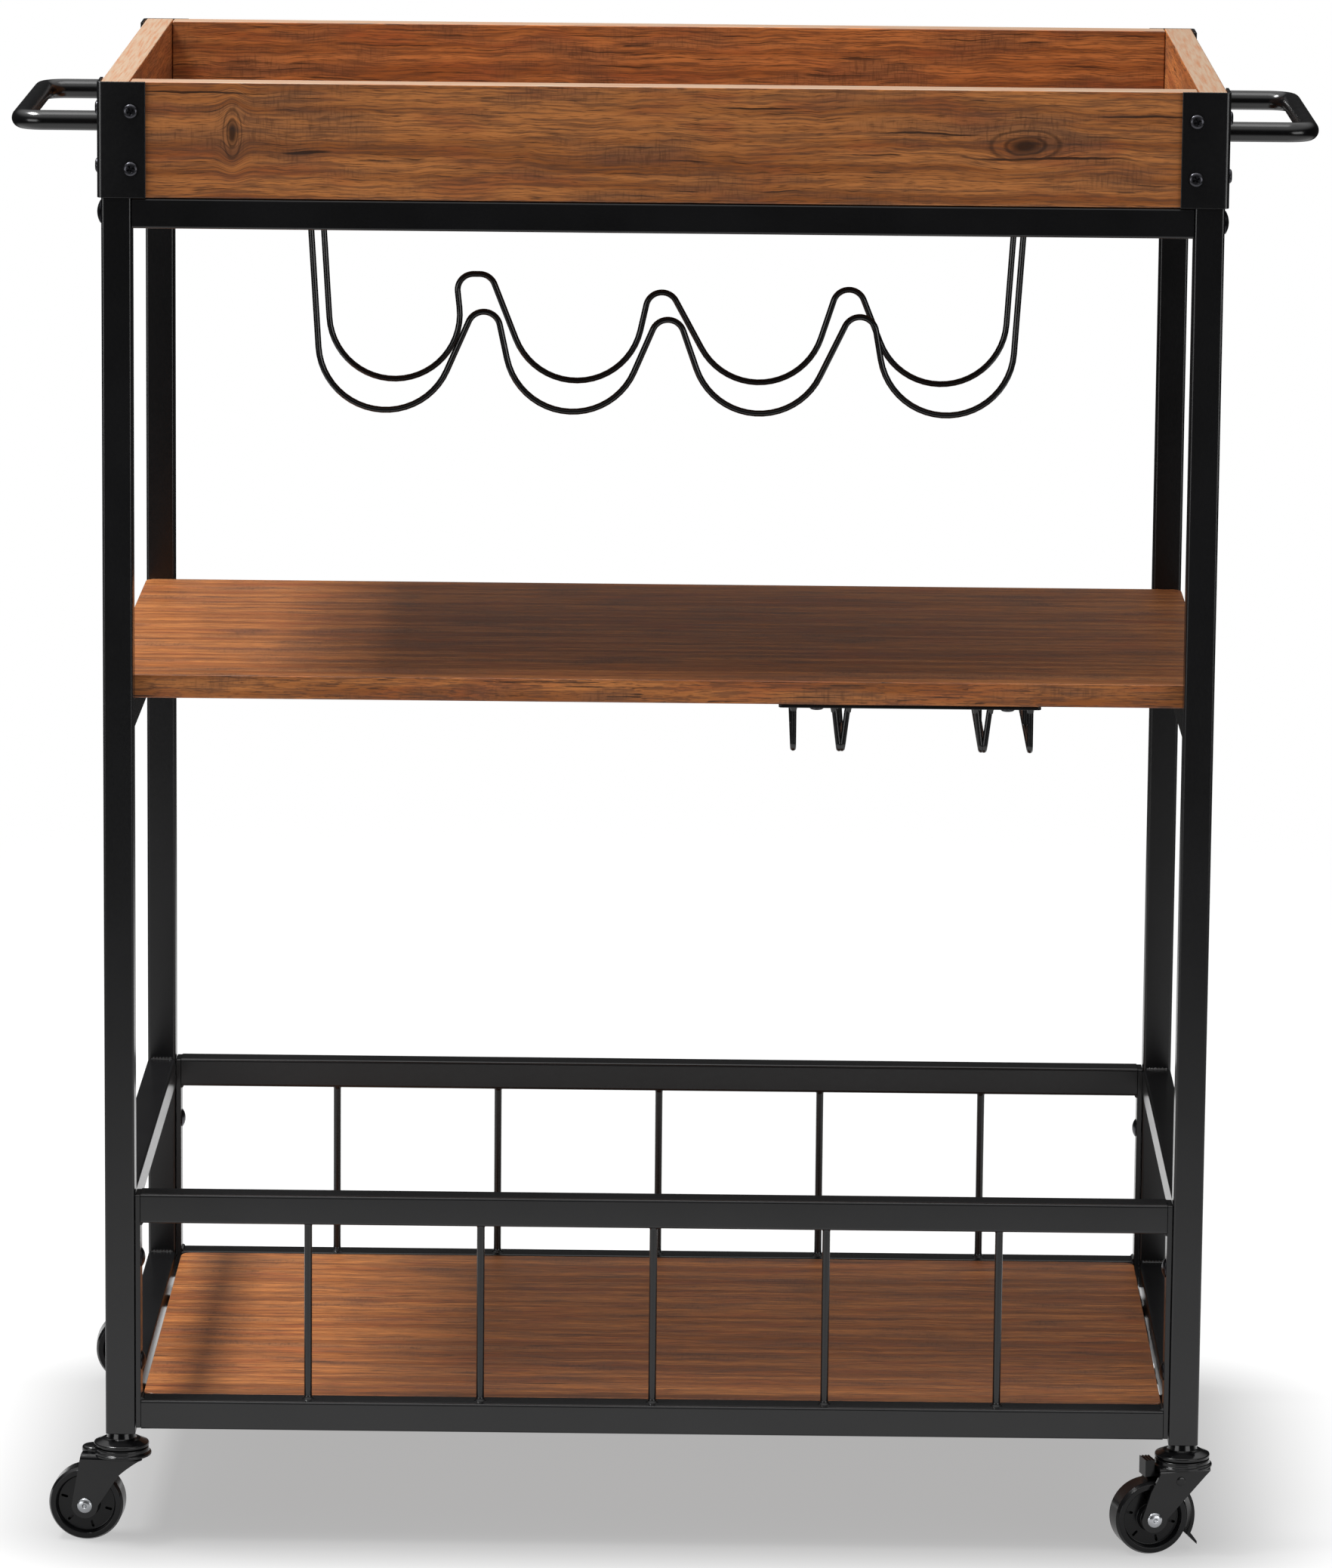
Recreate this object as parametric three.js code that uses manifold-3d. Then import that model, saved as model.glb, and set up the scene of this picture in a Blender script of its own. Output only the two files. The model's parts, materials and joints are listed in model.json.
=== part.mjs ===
// Bar cart on wheels: a welded square-tube frame with a boarded tray on top, a middle shelf,
// a lower shelf inside a railed basket, a hanging bottle rack, an under-shelf glass rack and
// four swivel casters, two of them braked. Millimetres, +Z up, origin on the floor under the
// middle of the cart, -Y is the front.
import * as THREE from 'three';
import { mergeVertices } from 'three/addons/utils/BufferGeometryUtils.js';
import Module from 'manifold-3d';

const wasm = await Module();
wasm.setup();

// ---- Driving dimensions -----------------------------------------------------------------

const fitGap = 0.3; // air between two pieces that butt, seat or slide on each other
const weldSink = 0.6; // how far one welded bar runs into the other
const holeSides = 8;
const barSides = 8;
const wireSides = 6;
const pinSides = 10;
const casterSides = 14;

// Frame of square tube
const frameWidth = 700; // over the posts, along X
const frameDepth = 410; // over the posts, along Y
const postTop = 866.5; // top of the posts above the floor
const tube = 19;
const tubeWall = 1.2;
const tubeCorner = 1.8;
const shelfTop = 562; // middle shelf, top face above the floor
const basketRailTop = 229; // basket top rail, top face above the floor
const bottomRailLift = 3.5; // bottom rail's underside above the post's end

// Boards
const shelfBoard = 15;
const shelfCorner = 7;
const trayBoard = 18;
const trayHeight = 72.4;
const trayFloorBoard = 9;
const trayFloorTongue = 6; // thickness of the edge that slides into the boards' grooves
const trayFloorLift = 6; // tray floor's underside above the board's lower edge
const grooveDepth = 6;

// Corner brackets and rail bolts
const bracketLeg = 30;
const bracketSheet = 2;
const railBoltDiameter = 6;
const railBoltHead = 14.5;
const railBoltHeadHeight = 2.7;
const railBoltLength = 30;
const domeShoulder = 0.75; // where a domed head turns over, as a share of its radius and height

// Handles
const handleTube = 12.7;
const handleReach = 66; // from the tray's side to the outside of the bar
const handleSpan = 193; // between the centre lines of the two legs
const handleBend = 15;

// Basket panels
const basketWire = 5;
const basketWireCount = 5;
const basketFlat = 3.3; // thickness of the end plates
const basketBoltSpread = 68; // between the two bolts of one end
const ventHole = 5;
const plateStepBack = 0.5; // end plate's edges inside the rail's faces

// Lower shelf tabs
const tabWidth = 24;
const tabReach = 20;
const tabSheet = 2.5;
const tabInset = 70; // tab's middle from the rail's end

// Bottle rack
const rackWire = 4;
const rackSpread = 144; // between the front and the rear wire
const cradlePitch = 120;
const cradleCount = 4;
const cradleLow = 716; // wire's centre line at the bottom of a cradle, above the floor
const crestRadius = 10.5;
const cradleEase = 6.5; // sideways room between a cradle's bend and a crest's bend
const crestRise = 62; // from the cradle's bottom to the crest
const rackLegOut = 50; // leg's upper end from the middle of the outer cradle
const rackMiddle = 2; // the rack hangs a little to the right of the middle
const rackStrip = 16;
const rackStripSheet = 3;
const rackStripOverhang = 15;
// Hand-bent crests: sideways shift and extra rise of each, and half the flat on its top
const crestsFront = [
  { shift: 3, rise: 2, flat: 0 },
  { shift: 1, rise: -2, flat: 0 },
  { shift: 4, rise: 1, flat: 0 },
];
const crestsRear = [
  { shift: -6, rise: 8, flat: 2 },
  { shift: -4, rise: -3, flat: 0 },
  { shift: -1, rise: 0, flat: 0 },
];

// Glass rack under the middle shelf
const glassWire = 3.8;
const glassStripLength = 166;
const glassStripStart = 76; // left end of the front strip from the middle of the cart
const glassStripSheet = 2.2;
const glassStripWidth = 16;
const glassEdge = 2; // front strip's front edge behind the shelf's front edge
const glassHang = 30; // from the strip down to the bottom of the wires
const glassSlot = 28; // between the two rails of a stem slot
const glassSpan = 90; // between the two stem slots
const glassFirst = 9.5; // first rail from the strip's left end
const glassLean = 2.4; // how far a leg's top stands off its foot where two legs meet
const glassBend = 4;
const glassTipBack = 40; // open tips of the rails from the shelf's rear edge
const glassHangerBack = 82; // second strip behind the first

// Casters
const wheelDiameter = 48;
const wheelWidth = 20;
const wheelSides = 20;
const casterTrail = 22;
const forkSheet = 2;
const forkSide = 1.5; // air between the wheel and a fork leg
const crownGap = 7.5; // tread to the underside of the fork crown
const crownSheet = 2;
const crownRadius = 19.3;
const cupHeight = 3.5;
const raceRadius = 17.6;
const raceHeight = 4.8;
const neckHeight = 4.5;
const raceTopRadius = 9.7;
const neckRadius = 8.8;
const kingpin = 10;
const rivetHead = 13.5;
const rivetHeight = 1.9;
const stemPlugLength = 24;
const axleDiameter = 6;
const axleHead = 10;
const axleHeadHeight = 2;
const legEyeRim = 3.5; // fork leg's steel round the axle head
const legFrontReach = 15; // fork leg's front corner ahead of the swivel axis
const legWaist = 13; // how far below the crown the fork leg's front edge turns down
const legBackReach = 2.5; // fork leg's rear edge behind the axle
const tongueRadius = 8; // rounded tongue over the wheel on a caster with no brake
const tongueBack = 4.5; // tongue's middle ahead of the axle
const wheelHub = 8.4; // radius
const wheelWeb = 10; // width across the recessed web
const wheelRim = 19.2; // inner radius of the raised rim
const wheelChamfer = 1.8;
const runningGap = 0.3; // radial air in a turning fit
// Way each wheel trails, seen from above, counted from +X
const trailAngles = { front_left: 176, front_right: 195, rear_left: 184, rear_right: 165 };
const brakedCasters = ['front_right', 'rear_right'];

// Brake rocker
const brakeSheet = 2;
const brakeAir = 3.2; // between the tread and the rocker
const brakeWidth = 13;
const brakePin = 4;
const brakePinAir = 6; // from the tread to the pin's axis
const brakePinAngle = 125; // place of the pin round the wheel, in degrees from the trailing side
const brakeEye = 4.2;
const brakePinHead = 8;
const brakePinHeadHeight = 1;
const brakeGap = 1.1; // from the crown's edge to the step block
const brakeBlock = 6.2; // length of the step block
const brakeBlockRise = 1; // step block's top above the fork's cup
const brakeToeAngle = 208; // where the rocker leaves the wheel for its toe, as brakePinAngle
const brakeToeReach = 7; // of the release toe, forwards
const brakeToeDrop = 7;
const brakeToeTip = 2; // height of the toe's blunt end

// ---- Dimensions worked out from those above ----------------------------------------------

const raceBottom = wheelDiameter + crownGap + crownSheet + cupHeight + fitGap;
const postBottom = raceBottom + raceHeight + neckHeight + fitGap;
const bottomRailCentre = postBottom + bottomRailLift + tube / 2;
const basketRailCentre = basketRailTop - tube / 2;
const shelfRailCentre = shelfTop - shelfBoard - fitGap - tube / 2;
const topRailCentre = postTop - tube / 2;
const basketMiddle = (bottomRailCentre + basketRailCentre) / 2;
const postX = frameWidth / 2 - tube / 2;
const postY = frameDepth / 2 - tube / 2;
const bayWidth = frameWidth - 2 * tube;
const bayDepth = frameDepth - 2 * tube;
const railLengthX = bayWidth - 2 * fitGap;
const railLengthY = bayDepth - 2 * fitGap;
const lowerShelfTop = bottomRailCentre + tube / 2 - fitGap;
const trayBottom = postTop + fitGap;
const trayFloorBottom = trayBottom + trayFloorLift;
const trayInsideX = frameWidth / 2 - trayBoard;
const trayInsideY = frameDepth / 2 - trayBoard;
const cradleRadius = cradlePitch / 2 - crestRadius - cradleEase;
const boltHole = railBoltDiameter / 2 + fitGap; // radius

const corners = [
  { name: 'front_left', sx: -1, sy: -1 },
  { name: 'front_right', sx: 1, sy: -1 },
  { name: 'rear_left', sx: -1, sy: 1 },
  { name: 'rear_right', sx: 1, sy: 1 },
];
const sides = [
  { name: 'left', sx: -1 },
  { name: 'right', sx: 1 },
];
const ends = [
  { name: 'front', sy: -1 },
  { name: 'rear', sy: 1 },
];

// ---- Finishes ----------------------------------------------------------------------------

const blackSteel = new THREE.MeshStandardMaterial({ color: 0x141416, roughness: 0.42, metalness: 0.3 });
const blackPlastic = new THREE.MeshStandardMaterial({ color: 0x17181a, roughness: 0.38, metalness: 0 });
const zincSteel = new THREE.MeshStandardMaterial({ color: 0xb9bcc0, roughness: 0.28, metalness: 1 });
const walnutBoard = new THREE.MeshStandardMaterial({ color: 0x8a5330, roughness: 0.5, metalness: 0 });

// ---- Shape helpers -----------------------------------------------------------------------

const cart = new THREE.Group();

function addPiece(parent, name, geometry, material) {
  const mesh = new THREE.Mesh(geometry, material);
  mesh.name = name;
  parent.add(mesh);
  return mesh;
}

function toSolid(geometry) {
  const bare = geometry.clone();
  bare.deleteAttribute('normal');
  bare.deleteAttribute('uv');
  const merged = mergeVertices(bare);
  return new wasm.Manifold(
    new wasm.Mesh({
      numProp: 3,
      vertProperties: new Float32Array(merged.attributes.position.array),
      triVerts: new Uint32Array(merged.index.array),
    }),
  );
}

function toGeometry(solid) {
  const mesh = solid.getMesh();
  const geometry = new THREE.BufferGeometry();
  geometry.setAttribute('position', new THREE.BufferAttribute(mesh.vertProperties, 3));
  geometry.setIndex(new THREE.BufferAttribute(mesh.triVerts, 1));
  geometry.computeVertexNormals();
  return geometry;
}

function weld(geometries) {
  return toGeometry(geometries.map(toSolid).reduce((whole, part) => whole.add(part)));
}

function cut(geometry, tools) {
  return toGeometry(tools.map(toSolid).reduce((whole, tool) => whole.subtract(tool), toSolid(geometry)));
}

function boxAt(sizeX, sizeY, sizeZ, x, y, z) {
  return new THREE.BoxGeometry(sizeX, sizeY, sizeZ).translate(x, y, z);
}

function roundedRectangle(width, height, radius) {
  const x = width / 2;
  const y = height / 2;
  const shape = new THREE.Shape();
  shape.moveTo(-x + radius, -y);
  shape.lineTo(x - radius, -y);
  shape.absarc(x - radius, -y + radius, radius, -Math.PI / 2, 0);
  shape.lineTo(x, y - radius);
  shape.absarc(x - radius, y - radius, radius, 0, Math.PI / 2);
  shape.lineTo(-x + radius, y);
  shape.absarc(-x + radius, y - radius, radius, Math.PI / 2, Math.PI);
  shape.lineTo(-x, -y + radius);
  shape.absarc(-x + radius, -y + radius, radius, Math.PI, 1.5 * Math.PI);
  return shape;
}

// Square tube standing on z = 0, open at both ends
function squareTube(length) {
  const shape = roundedRectangle(tube, tube, tubeCorner);
  const inside = tube - 2 * tubeWall;
  shape.holes.push(new THREE.Path(roundedRectangle(inside, inside, tubeCorner - tubeWall).getPoints(1)));
  return new THREE.ExtrudeGeometry(shape, { depth: length, bevelEnabled: false, curveSegments: 2 });
}

function tubeAlongX(length, x, y, z) {
  return squareTube(length).translate(0, 0, -length / 2).rotateY(Math.PI / 2).translate(x, y, z);
}

function tubeAlongY(length, x, y, z) {
  return squareTube(length).translate(0, 0, -length / 2).rotateX(Math.PI / 2).translate(x, y, z);
}

function barAlongX(length, radius, segments, x, y, z) {
  return new THREE.CylinderGeometry(radius, radius, length, segments).rotateZ(Math.PI / 2).translate(x, y, z);
}

function barAlongZ(length, radius, segments, x, y, z) {
  return new THREE.CylinderGeometry(radius, radius, length, segments).rotateX(Math.PI / 2).translate(x, y, z);
}

// Turned piece about the Z axis from [radius, z] pairs that start and end on the axis
function turned(profile, segments) {
  const points = profile.map(([radius, z]) => new THREE.Vector2(radius, z));
  return new THREE.LatheGeometry(points, segments).rotateX(Math.PI / 2);
}

// Path through given points, which stand closer together where it bends
class BentPath extends THREE.Curve {
  constructor(points) {
    super();
    this.points = points;
  }

  getPointAt(t) {
    return this.points[Math.round(t * (this.points.length - 1))].clone();
  }

  getTangentAt(t) {
    const last = this.points.length - 1;
    const here = Math.round(t * last);
    const before = this.points[Math.max(here - 1, 0)];
    const after = this.points[Math.min(here + 1, last)];
    return after.clone().sub(before).normalize();
  }
}

function roundBar(points, radius, sideCount) {
  const section = new THREE.Shape();
  for (let i = 0; i < sideCount; i += 1) {
    const angle = (2 * Math.PI * (i + 0.5)) / sideCount;
    const corner = new THREE.Vector2(radius * Math.cos(angle), radius * Math.sin(angle));
    if (i === 0) section.moveTo(corner.x, corner.y);
    else section.lineTo(corner.x, corner.y);
  }
  section.closePath();
  return new THREE.ExtrudeGeometry(section, { steps: points.length - 1, extrudePath: new BentPath(points) });
}

// Points along straight runs whose corners are rounded to the given radius
function roundedRun(stations, radius, stepsPerBend) {
  const points = [stations[0].clone()];
  for (let i = 1; i < stations.length - 1; i += 1) {
    const corner = stations[i];
    const back = stations[i - 1].clone().sub(corner).normalize();
    const ahead = stations[i + 1].clone().sub(corner).normalize();
    const half = back.angleTo(ahead) / 2;
    const tangentLength = radius / Math.tan(half);
    const middle = back.clone().add(ahead).normalize().multiplyScalar(radius / Math.sin(half)).add(corner);
    const from = corner.clone().addScaledVector(back, tangentLength).sub(middle);
    const to = corner.clone().addScaledVector(ahead, tangentLength).sub(middle);
    const axis = new THREE.Vector3().crossVectors(from, to).normalize();
    const sweep = from.angleTo(to);
    for (let k = 0; k <= stepsPerBend; k += 1) {
      points.push(from.clone().applyAxisAngle(axis, (sweep * k) / stepsPerBend).add(middle));
    }
  }
  points.push(stations[stations.length - 1].clone());
  return points;
}

// ---- Frame -------------------------------------------------------------------------------

// The rail's bolt goes through both walls, the basket's bolts through the inner wall only
function post(x, y) {
  const stood = squareTube(postTop - postBottom).translate(x, y, postBottom);
  const innerX = x - (Math.sign(x) * tube) / 2;
  const drills = [barAlongX(2 * tube, boltHole, holeSides, x, y, topRailCentre)];
  for (const lift of [-basketBoltSpread / 2, basketBoltSpread / 2]) {
    drills.push(barAlongX(tube / 2, boltHole, holeSides, innerX, y, basketMiddle + lift));
  }
  return cut(stood, drills);
}

for (const corner of corners) {
  addPiece(cart, `post_${corner.name}`, post(corner.sx * postX, corner.sy * postY), blackSteel);
}

const sideRailLevels = [['top', topRailCentre], ['shelf', shelfRailCentre], ['basket', basketRailCentre]];
for (const side of sides) {
  const x = side.sx * postX;
  for (const [level, z] of sideRailLevels) {
    addPiece(cart, `${level}_side_rail_${side.name}`, tubeAlongY(railLengthY, x, 0, z), blackSteel);
  }
  // The bottom rail carries two welded tabs that hold the lower shelf
  const tabTop = lowerShelfTop - shelfBoard - fitGap;
  const tabX = side.sx * (bayWidth / 2 - tabReach / 2 + weldSink / 2);
  const tabY = bayDepth / 2 - tabInset;
  const tabs = [-tabY, tabY].map((y) =>
    boxAt(tabReach + weldSink, tabWidth, tabSheet, tabX, y, tabTop - tabSheet / 2),
  );
  const rail = weld([tubeAlongY(railLengthY, x, 0, bottomRailCentre), ...tabs]);
  addPiece(cart, `bottom_side_rail_${side.name}`, rail, blackSteel);
}

for (const end of ends) {
  const rail = tubeAlongX(railLengthX, 0, end.sy * postY, topRailCentre);
  addPiece(cart, `top_rail_${end.name}`, rail, blackSteel);
}

// Dome-headed bolt that draws a post onto the end of a top rail
function railBolt() {
  const head = railBoltHead / 2;
  const shank = railBoltDiameter / 2;
  const profile = [
    [0, 0],
    [shank, 0],
    [shank, railBoltLength],
    [head, railBoltLength],
    [domeShoulder * head, railBoltLength + domeShoulder * railBoltHeadHeight],
    [0, railBoltLength + railBoltHeadHeight],
  ];
  return turned(profile, pinSides);
}

for (const corner of corners) {
  const bolt = addPiece(cart, `rail_bolt_${corner.name}`, railBolt(), blackSteel);
  const seat = frameWidth / 2 + fitGap - railBoltLength;
  bolt.rotation.y = (corner.sx * Math.PI) / 2;
  bolt.position.set(corner.sx * seat, corner.sy * postY, topRailCentre);
}

// ---- Basket ------------------------------------------------------------------------------

// Rail whose ends the end plates close, so it has a vent hole underneath
function ventedRail(length, y, z) {
  const solidRail = new THREE.ExtrudeGeometry(roundedRectangle(tube, tube, tubeCorner), {
    depth: length,
    bevelEnabled: false,
    curveSegments: 2,
  });
  solidRail.translate(0, 0, -length / 2).rotateY(Math.PI / 2).translate(0, y, z);
  const inside = tube - 2 * tubeWall;
  const hollow = boxAt(length - 2 * tubeWall, inside, inside, 0, y, z);
  const vent = barAlongZ(tube / 2, ventHole / 2, holeSides, -length / 2 + tube, y, z - tube / 2);
  return cut(solidRail, [hollow, vent]);
}

function basketPanel(y) {
  const span = bayWidth - 2 * fitGap;
  const railLength = span - 2 * basketFlat + 2 * weldSink;
  const plateHeight = basketRailCentre - bottomRailCentre + tube - 2 * plateStepBack;
  const wireLength = basketRailCentre - bottomRailCentre - tube + 2 * weldSink;
  const pitch = bayWidth / (basketWireCount + 1);
  const bars = [ventedRail(railLength, y, basketRailCentre), ventedRail(railLength, y, bottomRailCentre)];
  for (let i = 1; i <= basketWireCount; i += 1) {
    bars.push(barAlongZ(wireLength, basketWire / 2, barSides, -bayWidth / 2 + pitch * i, y, basketMiddle));
  }
  const boltHoles = [];
  for (const sx of [-1, 1]) {
    const x = sx * (span / 2 - basketFlat / 2);
    bars.push(boxAt(basketFlat, tube - 2 * plateStepBack, plateHeight, x, y, basketMiddle));
    for (const sz of [-1, 1]) {
      const z = basketMiddle + (sz * basketBoltSpread) / 2;
      boltHoles.push(barAlongX(3 * basketFlat, boltHole, holeSides, x, y, z));
    }
  }
  return cut(weld(bars), boltHoles);
}

for (const end of ends) {
  addPiece(cart, `basket_panel_${end.name}`, basketPanel(end.sy * postY), blackSteel);
}

// ---- Boards ------------------------------------------------------------------------------

function shelf(width, depth, top) {
  const shape = roundedRectangle(width, depth, shelfCorner);
  const options = { depth: shelfBoard, bevelEnabled: false, curveSegments: 4 };
  return new THREE.ExtrudeGeometry(shape, options).translate(0, 0, top - shelfBoard);
}

const shelfDepth = bayDepth - 4 * fitGap;
const lowerShelfWidth = bayWidth - 4 * fitGap - 2 * basketFlat;
addPiece(cart, 'middle_shelf', shelf(frameWidth, shelfDepth, shelfTop), walnutBoard);
addPiece(cart, 'lower_shelf', shelf(lowerShelfWidth, shelfDepth, lowerShelfTop), walnutBoard);

// Board on edge with a groove for the tray floor. The section is drawn with the inside face
// at x = 0 and the board running to -x, then extruded along its length.
function grooveBoard(length) {
  const grooveLow = trayFloorLift - fitGap;
  const grooveHigh = trayFloorLift + trayFloorTongue + fitGap;
  const section = new THREE.Shape();
  section.moveTo(0, 0);
  section.lineTo(0, grooveLow);
  section.lineTo(-grooveDepth, grooveLow);
  section.lineTo(-grooveDepth, grooveHigh);
  section.lineTo(0, grooveHigh);
  section.lineTo(0, trayHeight);
  section.lineTo(-trayBoard, trayHeight);
  section.lineTo(-trayBoard, 0);
  section.closePath();
  const board = new THREE.ExtrudeGeometry(section, { depth: length, bevelEnabled: false });
  return board.translate(0, 0, -length / 2).rotateX(Math.PI / 2);
}

for (const side of sides) {
  const board = addPiece(cart, `tray_board_${side.name}`, grooveBoard(frameDepth), walnutBoard);
  board.rotation.z = side.sx > 0 ? Math.PI : 0;
  board.position.set(side.sx * trayInsideX, 0, trayBottom);
}
const crossBoard = 2 * trayInsideX - 2 * fitGap;
for (const end of ends) {
  const board = addPiece(cart, `tray_board_${end.name}`, grooveBoard(crossBoard), walnutBoard);
  board.rotation.z = (-end.sy * Math.PI) / 2;
  board.position.set(0, end.sy * trayInsideY, trayBottom);
}
// Tray floor with a thinner edge all round that sits in the boards' grooves
function trayFloor() {
  const panel = (overhang, thickness) => {
    const width = 2 * (trayInsideX + overhang);
    const depth = 2 * (trayInsideY + overhang);
    return boxAt(width, depth, thickness, 0, 0, trayFloorBottom + thickness / 2);
  };
  return weld([panel(grooveDepth - fitGap, trayFloorTongue), panel(-fitGap, trayFloorBoard)]);
}

addPiece(cart, 'tray_floor', trayFloor(), walnutBoard);

// Steel angle over a tray corner, on the outside of both boards
function cornerBracket() {
  const inside = fitGap;
  const outside = fitGap + bracketSheet;
  const section = new THREE.Shape();
  section.moveTo(outside, outside);
  section.lineTo(-bracketLeg + bracketSheet, outside);
  section.lineTo(-bracketLeg + bracketSheet, inside);
  section.lineTo(inside, inside);
  section.lineTo(inside, -bracketLeg + bracketSheet);
  section.lineTo(outside, -bracketLeg + bracketSheet);
  section.closePath();
  return new THREE.ExtrudeGeometry(section, { depth: trayHeight, bevelEnabled: false });
}

for (const corner of corners) {
  const bracket = addPiece(cart, `corner_bracket_${corner.name}`, cornerBracket(), blackSteel);
  bracket.rotation.z = Math.atan2(corner.sy, corner.sx) - Math.PI / 4;
  bracket.position.set((corner.sx * frameWidth) / 2, (corner.sy * frameDepth) / 2, trayBottom);
}

// ---- Handles -----------------------------------------------------------------------------

function handle(sx) {
  const near = frameWidth / 2 + fitGap;
  const far = frameWidth / 2 + handleReach - handleTube / 2;
  const half = handleSpan / 2;
  const z = trayBottom + trayHeight / 2;
  const stations = [[near, -half], [far, -half], [far, half], [near, half]];
  const points = stations.map(([x, y]) => new THREE.Vector3(sx * x, y, z));
  return roundBar(roundedRun(points, handleBend, 5), handleTube / 2, pinSides);
}

for (const side of sides) {
  addPiece(cart, `handle_${side.name}`, handle(side.sx), blackSteel);
}

// ---- Bottle rack -------------------------------------------------------------------------

// Belt of round bends joined by tangents. A bend's radius is positive where the wire turns
// counterclockwise in the x-z plane, and negative where it turns clockwise.
function beltPoints(start, bends, end, maxStep) {
  const stops = [{ x: start.x, z: start.z, r: 0 }, ...bends, { x: end.x, z: end.z, r: 0 }];
  const headings = [];
  for (let i = 0; i + 1 < stops.length; i += 1) {
    const dx = stops[i + 1].x - stops[i].x;
    const dz = stops[i + 1].z - stops[i].z;
    const growth = stops[i + 1].r - stops[i].r;
    const run = Math.sqrt(dx * dx + dz * dz - growth * growth);
    headings.push(Math.atan2(dz, dx) - Math.atan2(growth, run));
  }
  const points = [new THREE.Vector3(start.x, 0, start.z)];
  bends.forEach((bend, i) => {
    const way = Math.sign(bend.r);
    const turn = way * THREE.MathUtils.euclideanModulo(way * (headings[i + 1] - headings[i]), 2 * Math.PI);
    const steps = Math.max(1, Math.ceil(Math.abs(turn) / maxStep));
    for (let k = 0; k <= steps; k += 1) {
      const heading = headings[i] + (turn * k) / steps;
      points.push(
        new THREE.Vector3(bend.x + bend.r * Math.sin(heading), 0, bend.z - bend.r * Math.cos(heading)),
      );
    }
  });
  points.push(new THREE.Vector3(end.x, 0, end.z));
  return points;
}

function bottleRack(crests, y) {
  const firstX = rackMiddle - ((cradleCount - 1) * cradlePitch) / 2;
  const stripBottom = trayFloorBottom - fitGap - rackStripSheet;
  const bends = [];
  for (let i = 0; i < cradleCount; i += 1) {
    bends.push({ x: firstX + i * cradlePitch, z: cradleLow + cradleRadius, r: cradleRadius });
    if (i < cradleCount - 1) {
      const crest = crests[i];
      const x = firstX + (i + 0.5) * cradlePitch + crest.shift;
      const z = cradleLow + crestRise + crest.rise - crestRadius;
      if (crest.flat > 0) {
        bends.push({ x: x - crest.flat, z, r: -crestRadius }, { x: x + crest.flat, z, r: -crestRadius });
      } else {
        bends.push({ x, z, r: -crestRadius });
      }
    }
  }
  const legTop = stripBottom + weldSink;
  const left = { x: firstX - rackLegOut, z: legTop };
  const right = { x: firstX + (cradleCount - 1) * cradlePitch + rackLegOut, z: legTop };
  const wire = roundBar(beltPoints(left, bends, right, Math.PI / 8), rackWire / 2, wireSides);
  const stripLength = right.x - left.x + 2 * rackStripOverhang;
  const stripMiddle = stripBottom + rackStripSheet / 2;
  const strip = boxAt(stripLength, rackStrip, rackStripSheet, rackMiddle, 0, stripMiddle);
  return weld([wire, strip]).translate(0, y, 0);
}

addPiece(cart, 'bottle_rack_front', bottleRack(crestsFront, -rackSpread / 2), blackSteel);
addPiece(cart, 'bottle_rack_rear', bottleRack(crestsRear, rackSpread / 2), blackSteel);

// ---- Glass rack --------------------------------------------------------------------------

const glassStripTop = shelfTop - shelfBoard - fitGap;
const glassStripBottom = glassStripTop - glassStripSheet;
const glassFrontY = -shelfDepth / 2 + glassEdge + glassStripWidth / 2;
const glassFootZ = glassStripBottom - glassHang + glassWire / 2;
const railPair = glassWire / 2 + fitGap / 2; // half the distance of two rails side by side
const slotStart = glassStripStart + glassFirst;
const glassRails = [
  slotStart,
  slotStart + glassSlot,
  slotStart + glassSlot + 2 * railPair,
  slotStart + glassSlot + glassSpan,
  slotStart + glassSlot + glassSpan + 2 * railPair,
  slotStart + 2 * glassSlot + glassSpan + 2 * railPair,
];

// One wire: back tip, rail, leg up to the strip, across under it, down and back again
function glassLoop(leftFoot, rightFoot, leftTop, rightTop) {
  const tipY = shelfDepth / 2 - glassTipBack;
  const topZ = glassStripBottom - glassWire / 2 - fitGap;
  const stations = [
    [leftFoot, tipY, glassFootZ],
    [leftFoot, glassFrontY, glassFootZ],
    [leftTop, glassFrontY, topZ],
    [rightTop, glassFrontY, topZ],
    [rightFoot, glassFrontY, glassFootZ],
    [rightFoot, tipY, glassFootZ],
  ];
  const points = stations.map(([x, y, z]) => new THREE.Vector3(x, y, z));
  return roundBar(roundedRun(points, glassBend, 3), glassWire / 2, wireSides);
}

const glassLoops = [
  ['left', glassRails[0], glassRails[1], glassRails[0], glassRails[1] - glassLean],
  ['middle', glassRails[2], glassRails[3], glassRails[2] + glassLean, glassRails[3] - glassLean],
  ['right', glassRails[4], glassRails[5], glassRails[4] + glassLean, glassRails[5]],
];
for (const [name, ...rails] of glassLoops) {
  addPiece(cart, `glass_rack_wire_${name}`, glassLoop(...rails), blackSteel);
}

const glassStripX = glassStripStart + glassStripLength / 2;
const glassStripZ = glassStripBottom + glassStripSheet / 2;

function glassStrip(y) {
  return boxAt(glassStripLength, glassStripWidth, glassStripSheet, glassStripX, y, glassStripZ);
}

addPiece(cart, 'glass_rack_strip_front', glassStrip(glassFrontY), blackSteel);

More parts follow.
